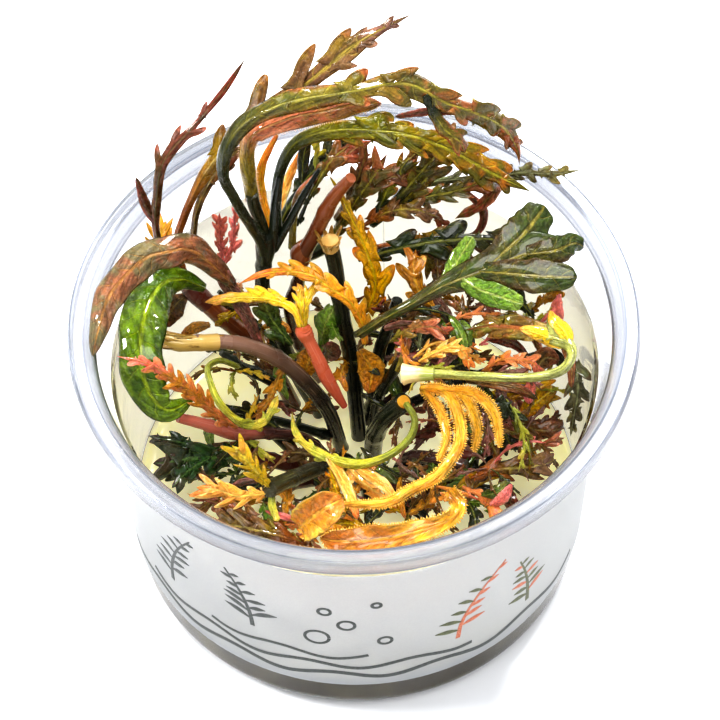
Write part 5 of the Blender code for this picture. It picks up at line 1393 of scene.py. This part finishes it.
sprout("flat_leaf", deep_green, [
    (1, 23, 52, 1.6), (8, 23.5, 54.5, 4.4), (17, 24.5, 55.5, 5), (26, 25, 55, 3.6), (31, 25.5, 54, 1)],
    lobes=3, ruffle=0.3)
sprout("flat_leaf", umber, [(12, 28, 48, 1.2), (20, 26, 47, 3.8), (28, 25, 46, 1)], lobes=4)
sprout("gold_back_leaf", ochre, [(27, 22, 46, 1), (29.5, 22, 50, 3), (30.5, 22.5, 54, 1)], lobes=3)
sprout("gold_back_leaf", deep_green, [(33, 15, 44, 1), (30, 17, 48, 3.2), (28, 20, 51, 1)], lobes=3)

# thin young strands that lie over the middle: each is a node, a finish and a route
STRANDS = (
    ("arch_shoot", mauve, (5.5, 9, 50, 1), (9, 8, 52.5, 1.4), (13.5, 7, 52, 1.2), (17, 5, 49.5, 0.6)),
    ("arch_shoot", deep_green, (7, 11, 51, 1), (11.5, 11, 53, 1.6), (16, 10, 53, 1.4),
     (20, 8.5, 51, 0.6)),
    ("arch_shoot", pink, (16.5, 8, 52, 0.8), (20.5, 8.8, 54, 1.3), (25, 8.4, 54.2, 1.2),
     (30, 6.8, 53.4, 0.6)),
    ("arch_shoot", russet, (7.5, 1.5, 47, 0.8), (9, 4, 49, 1.4), (9.5, 7, 50.5, 1.4), (8, 10, 51, 0.6)),
    ("gold_hook_leaf", peach, (10.5, 3, 49, 0.8), (14, 4.8, 50.6, 1.2), (18.5, 5.2, 50.6, 1.1),
     (23, 4.2, 49, 0.6)),
    ("gold_hook_leaf", lime, (11, 0.8, 48, 0.8), (14, 0.6, 49.4, 1.2), (17, 0, 49.4, 1),
     (19.5, -1.2, 48, 0.5)),
    ("gold_hook_leaf", bright_green, (19, 2, 49, 0.9), (19.5, 4, 51.8, 2), (18.6, 6.4, 53.4, 1.8),
     (17, 8.8, 54, 0.6)),
    ("pink_arch_leaf", mauve, (24, 1, 46, 0.8), (27.5, 0.2, 48.4, 1.5), (31, -0.8, 48, 1.3),
     (33.5, -2.6, 46, 0.6)),
    ("pink_arch_leaf", coral, (22.5, 6, 48.4, 0.8), (26, 7, 50.6, 1.3), (30, 7.2, 50.6, 1.2),
     (33.5, 6, 49.4, 0.6)),
    ("pink_arch_leaf", umber, (20, 0, 46, 1), (24, -1.5, 47.4, 2), (28.5, -2.4, 47, 2),
     (32.5, -3.6, 45, 0.8)),
    ("curl_shoot", mauve, (21, -3.5, 46, 0.9), (23, -7, 46.4, 1.6), (23.5, -11, 44.6, 1.4),
     (22.6, -14.6, 42, 0.6)),
    ("curl_shoot", lime, (27, -4, 45.6, 0.8), (29, -8, 45, 1.2), (30, -12, 42.4, 1.2),
     (28.8, -16, 40, 0.6)),
    ("wall_leaf", umber, (36.5, 6, 49, 0.8), (37.8, 3.4, 51, 1.8), (38.6, 0, 50.4, 1.8),
     (38.6, -3.4, 48, 0.8)),
    ("slant_stem", wine, (9, 12, 46, 0.9), (6, 13, 49, 1.8), (4.6, 12.6, 52, 1.6),
     (5.2, 10.8, 54.6, 0.6)))
for k, (node, finish, *route) in enumerate(STRANDS):
    sprout(node, finish, route, ruffle=0.45, lobes=(0, 3, 4)[k % 3], reach=1.5)
print("parts so far:", sum(len(parts) for parts in grown.values()))

# %% [markdown]
# ## Tufts low down
#
# At the jelly the plant breaks into dense tufts. A tuft could be one mesh that is copied about,
# but copies would show from the side, so each one is grown by a rule: a few small leaves fan out
# from one point of a stem, and their turn, length and finish follow from where that point is.

# %% Tufts low down
INSIDE_RADIUS = 39.0
LOWEST_TIP = 12.4


def tuft(node, place, finishes, reach=9.0, count=4, wide=2.6):
    """Small leaves that spread to all sides from one point of a stem."""
    chance = random.Random(node + str(place))
    x, y, z = place
    first = chance.uniform(0, 2 * math.pi)
    for k in range(count):
        turn = first + 2 * math.pi * (k + chance.uniform(-0.25, 0.25)) / count
        far = reach * chance.uniform(0.7, 1.2)
        rise, bend = chance.uniform(0.2, 0.9), chance.uniform(-0.6, 0.6)
        width = wide * chance.uniform(0.6, 1.2)
        route = []
        for share, size in ((0.0, 0.45), (0.35, 0.8), (0.7, 1.0), (1.0, 0.3)):
            spot_x = x + far * share * math.cos(turn + bend * share)
            spot_y = y + far * share * math.sin(turn + bend * share)
            inside = min(1.0, INSIDE_RADIUS / math.hypot(spot_x, spot_y))
            height = max(LOWEST_TIP, z + far * (rise * share - 0.5 * share * share))
            route.append((spot_x * inside, spot_y * inside, height, width * size))
        sprout(node, finishes[k % len(finishes)], route, lobes=chance.choice((0, 2, 3)), ruffle=0.25,
               twist=chance.uniform(-50, 50))


tuft("pink_stem", (-27, 2, 23), [deep_green, umber, bright_green], 8, 3)
tuft("maroon_stem", (-22, -6, 26), [deep_green, bright_green, fresh_green, deep_green])
tuft("dark_front_leaf", (-24, -14, 32), [umber, deep_green, olive_green])
tuft("olive_shoot", (-17, -15, 30), [bright_green, umber, deep_green, ochre], 8)
tuft("front_wall_shoot", (-13, -23, 35), [ochre, olive_gold, umber, pink], 8)
tuft("olive_shoot", (-9, -4, 22), [umber, ochre, deep_green, mauve])
tuft("olive_shoot", (-5, -9, 25), [peach, umber, fresh_green, ochre])
tuft("amber_leaf", (-2, -19, 33), [ochre, golden, peach, umber])
tuft("front_wall_shoot", (1, -24, 35), [golden, ochre, russet, deep_green], 8)
tuft("mauve_stem", (5, -7, 22), [deep_green, umber, fresh_green, mauve])
tuft("ochre_leaf", (9, -20, 33), [russet, ochre, umber, golden])
tuft("mauve_stem", (13, -13, 26), [umber, olive_green, deep_green, wine])
tuft("mauve_stem", (18, -7, 24), [fresh_green, deep_green, umber, ochre])
tuft("coral_low_shoot", (20, -17, 32), [pink, deep_green, bright_green, umber], 8)
tuft("front_stem", (27, -9, 29), [golden, wine, deep_green, olive_gold])
tuft("front_stem", (32, -3, 31), [russet, ochre, umber], 8)
tuft("gold_low_leaf", (28, 5, 28), [wine, golden, deep_green, umber])
tuft("mauve_stem", (22, 2, 23), [wine, deep_green, umber, bright_green])
tuft("curl_shoot", (26, 1, 37), [mauve, fresh_green, ochre], 7, 3, 2)
tuft("gold_back_leaf", (32, 12, 36), [wine, umber, ochre, deep_green])
tuft("slant_stem", (8, 8, 24), [deep_green, umber, wine, fresh_green])
tuft("slant_stem", (14, 12, 30), [umber, deep_green, ochre, bright_green])
tuft("slant_stem", (19, 10, 36), [wine, pink, deep_green, umber], 8)
tuft("arch_shoot", (12, 6, 46), [umber, russet, grey_green], 7, 3, 1.8)
tuft("arch_shoot", (19, 6, 46), [mauve, peach, bright_green, wine], 7, 4, 1.8)
tuft("leafy_stem", (8, 18, 32), [umber, deep_green, ochre, wine])
tuft("leafy_stem", (13, 21, 38), [umber, ochre, deep_green, bright_green])
tuft("gold_lobed_shoot", (21, 19, 42), [wine, umber, ochre, deep_green])
tuft("crowned_stem", (-1, 14, 33), [ochre, deep_green, umber], 8)
tuft("crowned_stem", (-4, 18, 42), [umber, bright_green, wine], 7, 3)
tuft("beige_stem", (-10, 9, 24), [deep_green, umber, ochre, wine])
tuft("noded_stem", (-13, 18, 30), [umber, deep_green, bright_green, lime])
tuft("noded_stem", (-17, 17, 40), [umber, ochre, deep_green], 8, 3)
tuft("left_rust_stem", (-21, 18, 30), [umber, lime, deep_green], 8, 3)
tuft("beige_stem", (-18, 9, 28), [umber, deep_green, wine], 8, 3)

# finer tufts a little higher, of narrow young leaves
tuft("ochre_leaf", (14, -16, 36), [russet, mauve, umber, pink], 9, 5, 1.4)
tuft("coral_low_shoot", (24, -13, 37), [mauve, umber, deep_green, coral], 9, 5, 1.4)
tuft("front_stem", (30, -6, 37), [russet, olive_gold, umber, mauve], 8, 5, 1.4)
tuft("gold_low_leaf", (33, 3, 38), [golden, mauve, umber, lime], 8, 5, 1.4)
tuft("pink_stem", (-21, -2, 32), [lime, yellow, fresh_green, deep_green], 8, 4, 1.8)
tuft("beige_stem", (-22, 10, 36), [lime, yellow, umber, olive_gold], 8, 4, 1.9)
tuft("noded_stem", (-20, 20, 43), [lime, golden, umber, russet], 8, 4, 1.9)
tuft("maroon_stem", (-17, -13, 34), [umber, olive_gold, mauve, deep_green], 8, 5, 1.5)
tuft("front_wall_shoot", (-9, -24, 37), [pink, coral, umber, ochre], 8, 5, 1.4)
tuft("olive_shoot", (-3, -12, 34), [umber, mauve, fresh_green, ochre], 8, 5, 1.4)
tuft("mauve_stem", (8, -12, 33), [umber, mauve, deep_green, ochre], 9, 5, 1.4)
tuft("curl_shoot", (22, -4, 42), [mauve, bright_green, peach, umber], 7, 5, 1.3)
tuft("mauve_stem", (17, -3, 36), [umber, deep_green, russet, mauve], 8, 5, 1.4)
tuft("gold_back_leaf", (31, 13, 44), [lime, umber, mauve, russet], 8, 5, 1.5)
tuft("arch_shoot", (14, 3, 45), [mauve, lime, russet, umber], 7, 5, 1.3)

for node, finish, route in (
        ("maroon_stem", dark_bark, [(-28, -9, 26, 1), (-19, -8, 25, 1.8), (-9, -3.5, 20, 2)]),
        ("maroon_stem", maroon_bark, [(-24, -15, 31, 1), (-15, -10, 27, 1.9), (-5.5, -3, 19, 2)]),
        ("olive_shoot", dark_bark, [(2, -25, 31, 1), (2, -15, 26, 1.8), (1.5, -4, 19, 2)]),
        ("mauve_stem", dark_bark, [(14, -22, 31, 1), (10, -13, 26, 1.8), (4.5, -2.5, 18, 2)]),
        ("mauve_stem", dark_bark, [(26, -14, 30, 1), (18, -8, 26, 2), (7.5, -0.5, 18, 2.2)]),
        ("front_stem", dark_bark, [(34, 2, 30, 0.8), (27, -2, 27, 1.6), (20.5, -4.5, 18, 1.8)]),
        ("slant_stem", dark_bark, [(30, 11, 36, 0.9), (21, 11, 31, 1.8), (9, 11, 22, 2.2)]),
        ("slant_stem", maroon_bark, [(25, 18, 40, 0.9), (17, 16, 33, 1.7), (6, 12, 22, 2)]),
        ("leafy_stem", dark_bark, [(16, 25, 44, 0.9), (11, 22, 38, 1.7), (5, 17, 28, 2)]),
        ("noded_stem", dark_bark, [(-25, 24, 42, 0.9), (-19, 22, 34, 1.8), (-11, 18.5, 22, 2)]),
        ("beige_stem", dark_bark, [(-22, 4, 32, 0.9), (-14, 6, 25, 1.8), (-5, 8, 17, 2)])):
    grow(node, stem(node + "_runner_" + str(len(grown[node])), route, finish, 6, 0.3, 12))
print("pieces with tufts:", len(grown))

# %% [markdown]
# ## Cut ends and knots
#
# The stems were cut with scissors. One ends in a ragged crown, one shows its orange pith, one
# pale stalk flares out at its cut, and the skin of the beige one is torn into strips. These
# small details are what the eye checks first, so they are modelled and not only coloured.

# %% Cut ends and knots
CROWN_SCALES = 9
TORN_STRIPS = 6
for k in range(CROWN_SCALES):
    angle = 2 * math.pi * k / CROWN_SCALES
    lean_x, lean_y = math.cos(angle), math.sin(angle)
    flare = (0.6, 1.3, 0.9)[k % 3]
    crown = [(-3.9 + 1.0 * lean_x, 17.8 + 1.0 * lean_y, 62.0, 1.2),
             (-4 + 1.5 * lean_x, 18 + 1.5 * lean_y, 64, 1.2),
             (-4 + (1.5 + flare) * lean_x, 18 + (1.5 + flare) * lean_y, 64.8 + 1.2 * flare, 0.3)]
    grow("crowned_stem", blade("crown_scale_" + str(k), crown, torn_skin,
                               upper=(lean_x, lean_y, 0.1), ruffle=0.6))
grow("crowned_stem", stem("crown_core", [(-3.8, 17.8, 62.4, 3), (-4, 18, 64.7, 3.2)], husk, 30, 0))
grow("stub_stem", stem("stub_core", [(8.2, 1.6, 36.4, 2.7), (9, 1.3, 38, 2.3)], pith, 30, 0))
grow("stub_stem", stem("stub_collar", [(8, 1.7, 36, 3.9), (8.7, 1.4, 37.4, 3.7)], dark_bark, 30, 0))
grow("pale_petiole_leaf", stem("petiole_cut_end", [
    (8.6, -3.9, 53.8, 4), (9.6, -4, 54, 3.3), (11.5, -4.1, 54.1, 2.7), (14, -4.4, 54.4, 2.3)],
    cream, 30, 0))
grow("beige_stem", stem("beige_husk", [
    (-36, 5.5, 54, 2.2), (-32, 4.5, 53, 2.9), (-28, 5, 52.1, 3), (-24.5, 5.9, 51.1, 3.1)],
    straw, 2, 0.3))
for k in range(TORN_STRIPS):
    angle = 2 * math.pi * k / TORN_STRIPS
    off_y, off_z = 1.2 * math.cos(angle), 1.1 * math.sin(angle)
    far = (0.0, 2.6, 1.1)[k % 3]
    torn = [(-37.6 + far, 5.8 + 1.5 * off_y, 54.2 + 1.5 * off_z, 0.5),
            (-34, 4.9 + 1.3 * off_y, 53.5 + 1.3 * off_z, 1.3),
            (-28.5, 4.9 + off_y, 52.3 + off_z, 1.6), (-24.4 + 0.4 * far, 5.9 + off_y, 51.2 + off_z, 0.4)]
    grow("beige_stem", blade("torn_skin_" + str(k), torn, torn_skin,
                             upper=(0.1, math.cos(angle), math.sin(angle)), ruffle=0.8, droop=0.4))
grow("rust_stem", stem("rust_knob", [
    (-9, 20.6, 55, 2.9), (-9.3, 20.9, 57, 4.1), (-8.2, 20.7, 59.6, 3.1)], rust_bark, 30, 0))
grow("noded_stem", stem("noded_knob", [
    (-16, 19.8, 56.6, 3), (-15.6, 20.1, 60, 3.6), (-15.3, 20.4, 63, 2.4)], dark_bark, 30, 0))
STALKS = (
    (dark_bark, (-15.9, 19.6, 59, 2.4), (-16.5, 18.9, 64, 2), (-18.2, 18, 70, 1.7), (-19.6, 17.8, 76, 1)),
    (dark_bark, (-14.6, 20.4, 59, 2.2), (-14, 21.4, 64, 1.8), (-13.6, 23.2, 69, 1.5), (-12.8, 25, 74, 0.8)),
    (olive_bark, (-15.2, 21, 59.5, 1.8), (-16, 21.8, 64, 2), (-17.2, 22.3, 69, 2.3),
     (-17.6, 22.6, 72, 2.2)),
    (dark_bark, (-14.2, 20.6, 59, 1.8), (-11.4, 22.4, 64, 1.5), (-8.4, 24.6, 69.5, 1.3),
     (-5.6, 26.6, 74, 0.7)))
for k, (finish, *route) in enumerate(STALKS):
    grow("noded_stem", stem("noded_stalk_" + str(k), route, finish, 30, 0))
grow("left_rust_stem", stem("left_rust_end", [
    (-30.4, 21.6, 47.3, 3.2), (-29.4, 21.2, 46, 4), (-27, 20.4, 43, 3.7)], maroon_bark, 30, 0))
grow("coral_shoot", stem("coral_knob", [
    (-9.1, 7.1, 53.3, 2.4), (-9, 6.9, 52.4, 3.2), (-8.4, 6.4, 51, 2.7)], coral_bark, 30, 0))
print("crown scales:", CROWN_SCALES, "and torn strips:", TORN_STRIPS)

# %% [markdown]
# ## Hairs on the margins
#
# Two of the leaves have margins like a fine comb. Hair after hair at even spacing is what
# Geometry Nodes are for: the leaf's margin becomes a curve, the curve is resampled at the
# spacing, and a thin cone stands on every point and points away from the leaf.

# %% Hair tree
def hair_tree():
    """Sets small cones along the edges of a mesh, pointing where its out attribute says."""
    sizes = {"Spacing": "Float", "Length": "Float", "Thickness": "Float", "Seed": "Int",
             "Material": "Material"}
    tree, given, result = new_tree("Hairs along a margin", sizes)
    seed, thick = given.outputs["Seed"], given.outputs["Thickness"]
    line = add(tree, "GeometryNodeMeshToCurve", {"Mesh": given.outputs["Geometry"]})
    even = add(tree, "GeometryNodeResampleCurve", {
        "Curve": line.outputs["Curve"], "Length": given.outputs["Spacing"]}, mode="LENGTH")
    cone = add(tree, "GeometryNodeMeshCone", {
        "Vertices": 5, "Radius Top": 0.0, "Radius Bottom": 1.0, "Depth": 1.0})
    way = add(tree, "GeometryNodeInputNamedAttribute", {"Name": "out"}, data_type="FLOAT_VECTOR")
    shake = add(tree, "FunctionNodeRandomValue", {
        0: (-0.5, -0.5, -0.5), 1: (0.5, 0.5, 0.5), "Seed": seed}, data_type="FLOAT_VECTOR")
    both = add(tree, "ShaderNodeVectorMath", {0: way.outputs["Attribute"], 1: shake.outputs["Value"]})
    align = add(tree, "FunctionNodeAlignRotationToVector", {"Vector": both.outputs[0]})
    vary = add(tree, "FunctionNodeRandomValue", {2: 0.5, 3: 1.0, "Seed": seed})
    tall = sum_of(tree, "MULTIPLY", vary.outputs[1], given.outputs["Length"])
    plant = add(tree, "GeometryNodeInstanceOnPoints", {
        "Points": even.outputs["Curve"], "Instance": cone.outputs["Mesh"],
        "Rotation": align.outputs["Rotation"], "Scale": vector_of(tree, thick, thick, tall)})
    return hand_over(tree, plant.outputs["Instances"], given, result)


HAIR_TREE = hair_tree()
HAIR_SEED = 7


def hairs(name, source, spacing, length, thickness, finish):
    """A comb of hairs along both margins of a leaf that was grown before."""
    verts, edges, ways = [], [], []
    for points, outward in margins[source]:
        edges += [(len(verts) + i, len(verts) + i + 1) for i in range(len(points) - 1)]
        verts += points.tolist()
        ways += outward.tolist()
    mesh = bpy.data.meshes.new(name)
    mesh.from_pydata(verts, edges, [])
    out = mesh.attributes.new("out", "FLOAT_VECTOR", "POINT")
    out.data.foreach_set("vector", np.array(ways, np.float32).ravel())
    values = {"Spacing": spacing * MM, "Length": length * MM, "Thickness": thickness * MM,
              "Seed": HAIR_SEED, "Material": finish}
    return run_tree(put_in_scene(name, mesh), HAIR_TREE, values)


grow("rolled_leaf", hairs("rolled_hairs", "rolled_leaf_blade", 0.4, 0.6, 0.09, pale_hair))
for strand in ("fuzzy_leaf_blade", "fuzzy_leaf_leaflet_1", "fuzzy_leaf_leaflet_2", "fuzzy_leaf_leaflet_3"):
    grow("fuzzy_leaf", hairs(strand + "_teeth", strand, 0.42, 0.62, 0.2, amber_tooth))
grow("ochre_leaf", hairs("ochre_teeth", "ochre_leaf_blade", 0.5, 0.6, 0.2, amber_tooth))
print("points in the rolled leaf's hairs:", len(grown["rolled_leaf"][-1].data.vertices))

# %% [markdown]
# ## Standing in for the frame
#
# Everything that was grown for a node is joined into one piece, which then hides the plain solid
# and rides where it rode.

# %% Join and dress
def join(parts, name):
    """Several mesh objects as one."""
    first = parts[0]
    if len(parts) > 1:
        with bpy.context.temp_override(active_object=first, selected_editable_objects=parts):
            bpy.ops.object.join()
    first.name = name
    return first


faces = 0
for node, parts in grown.items():
    piece = join(parts, node + "_grown")
    faces += len(piece.data.polygons)
    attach(piece, "root")
    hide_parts(node)
print("dressed", len(grown), "pieces with", faces, "faces")

# %% [markdown]
# ## Studio
#
# The cup stands on a plain pale floor. Soft lights stand above, behind and to the left, and two
# small bright ones give the wet leaves their white glints. The high-contrast look keeps the
# stems as dark as they are in the cup, and the camera looks down as steeply as the photograph.

# %% Floor
def floor_finish():
    """A plain, almost white studio floor."""
    made, tree, shader = new_material("studio_floor")
    feed(tree, shader, {"Base Color": tint(244, 245, 247), "Roughness": 0.7})
    return made


FLOOR_HALF = 2.5
corners = [(x * FLOOR_HALF, y * FLOOR_HALF, 0) for x, y in ((-1, -1), (1, -1), (1, 1), (-1, 1))]
floor_mesh = bpy.data.meshes.new("studio_floor")
floor_mesh.from_pydata(corners, [], [(0, 1, 2, 3)])
floor_mesh.materials.append(floor_finish())
floor = put_in_scene("studio_floor", floor_mesh)
print("the floor is", 2 * FLOOR_HALF, "m wide")

# %% Lights
LIT_POINT = Vector((0.0, 0.0, 0.05))


def soft_light(name, place, size, watts):
    """A square soft light that faces the cup."""
    data = bpy.data.lights.new(name, "AREA")
    data.size = size
    data.energy = watts
    lamp = put_in_scene(name, data)
    lamp.location = place
    lamp.rotation_euler = (LIT_POINT - Vector(place)).to_track_quat("-Z", "Y").to_euler()


soft_light("back_light", (0.22, 0.62, 0.85), 0.26, 7.6)
soft_light("left_light", (-0.62, -0.05, 0.75), 0.20, 4)
soft_light("front_light", (0.10, -0.55, 1.05), 0.60, 5.5)
soft_light("sparkle_light", (0.30, 0.25, 0.80), 0.03, 1.6)
soft_light("left_sparkle", (-0.35, 0.15, 0.75), 0.03, 1.3)
world = bpy.data.worlds.new("studio_world")
world.use_nodes = True
sky = world.node_tree.nodes["Background"]
feed(world.node_tree, sky, {"Color": (0.95, 0.97, 1.0, 1.0), "Strength": 0.5})
bpy.context.scene.world = world
bpy.context.scene.view_settings.view_transform = "Standard"
bpy.context.scene.view_settings.look = "High Contrast"
print("lights:", len(bpy.data.lights))

# %% Camera
ELEVATION = math.radians(54.58)
DISTANCE = 0.505
TARGET = Vector((0.00112, 0.0, 0.05292))
ROLL = -0.0187
LENS = 142.1
IMAGE_WIDTH = 720.0
SHIFT_PIXELS = 0.8

aim = Vector((0.0, math.cos(ELEVATION), -math.sin(ELEVATION)))
right = Vector((1.0, 0.0, 0.0))
up = right.cross(aim)
turned_right = right * math.cos(ROLL) + up * math.sin(ROLL)
turned_up = up * math.cos(ROLL) - right * math.sin(ROLL)
view = Matrix((turned_right, turned_up, -aim)).transposed().to_4x4()
view.translation = TARGET - aim * DISTANCE
camera_data = bpy.data.cameras.new("photo_camera")
camera_data.sensor_width = 36.0
camera_data.lens = LENS
camera_data.shift_x = -SHIFT_PIXELS / IMAGE_WIDTH
camera_data.clip_start = 0.01
camera = put_in_scene("photo_camera", camera_data)
camera.matrix_world = view
bpy.context.scene.camera = camera
print("camera", round(DISTANCE, 3), "m away")
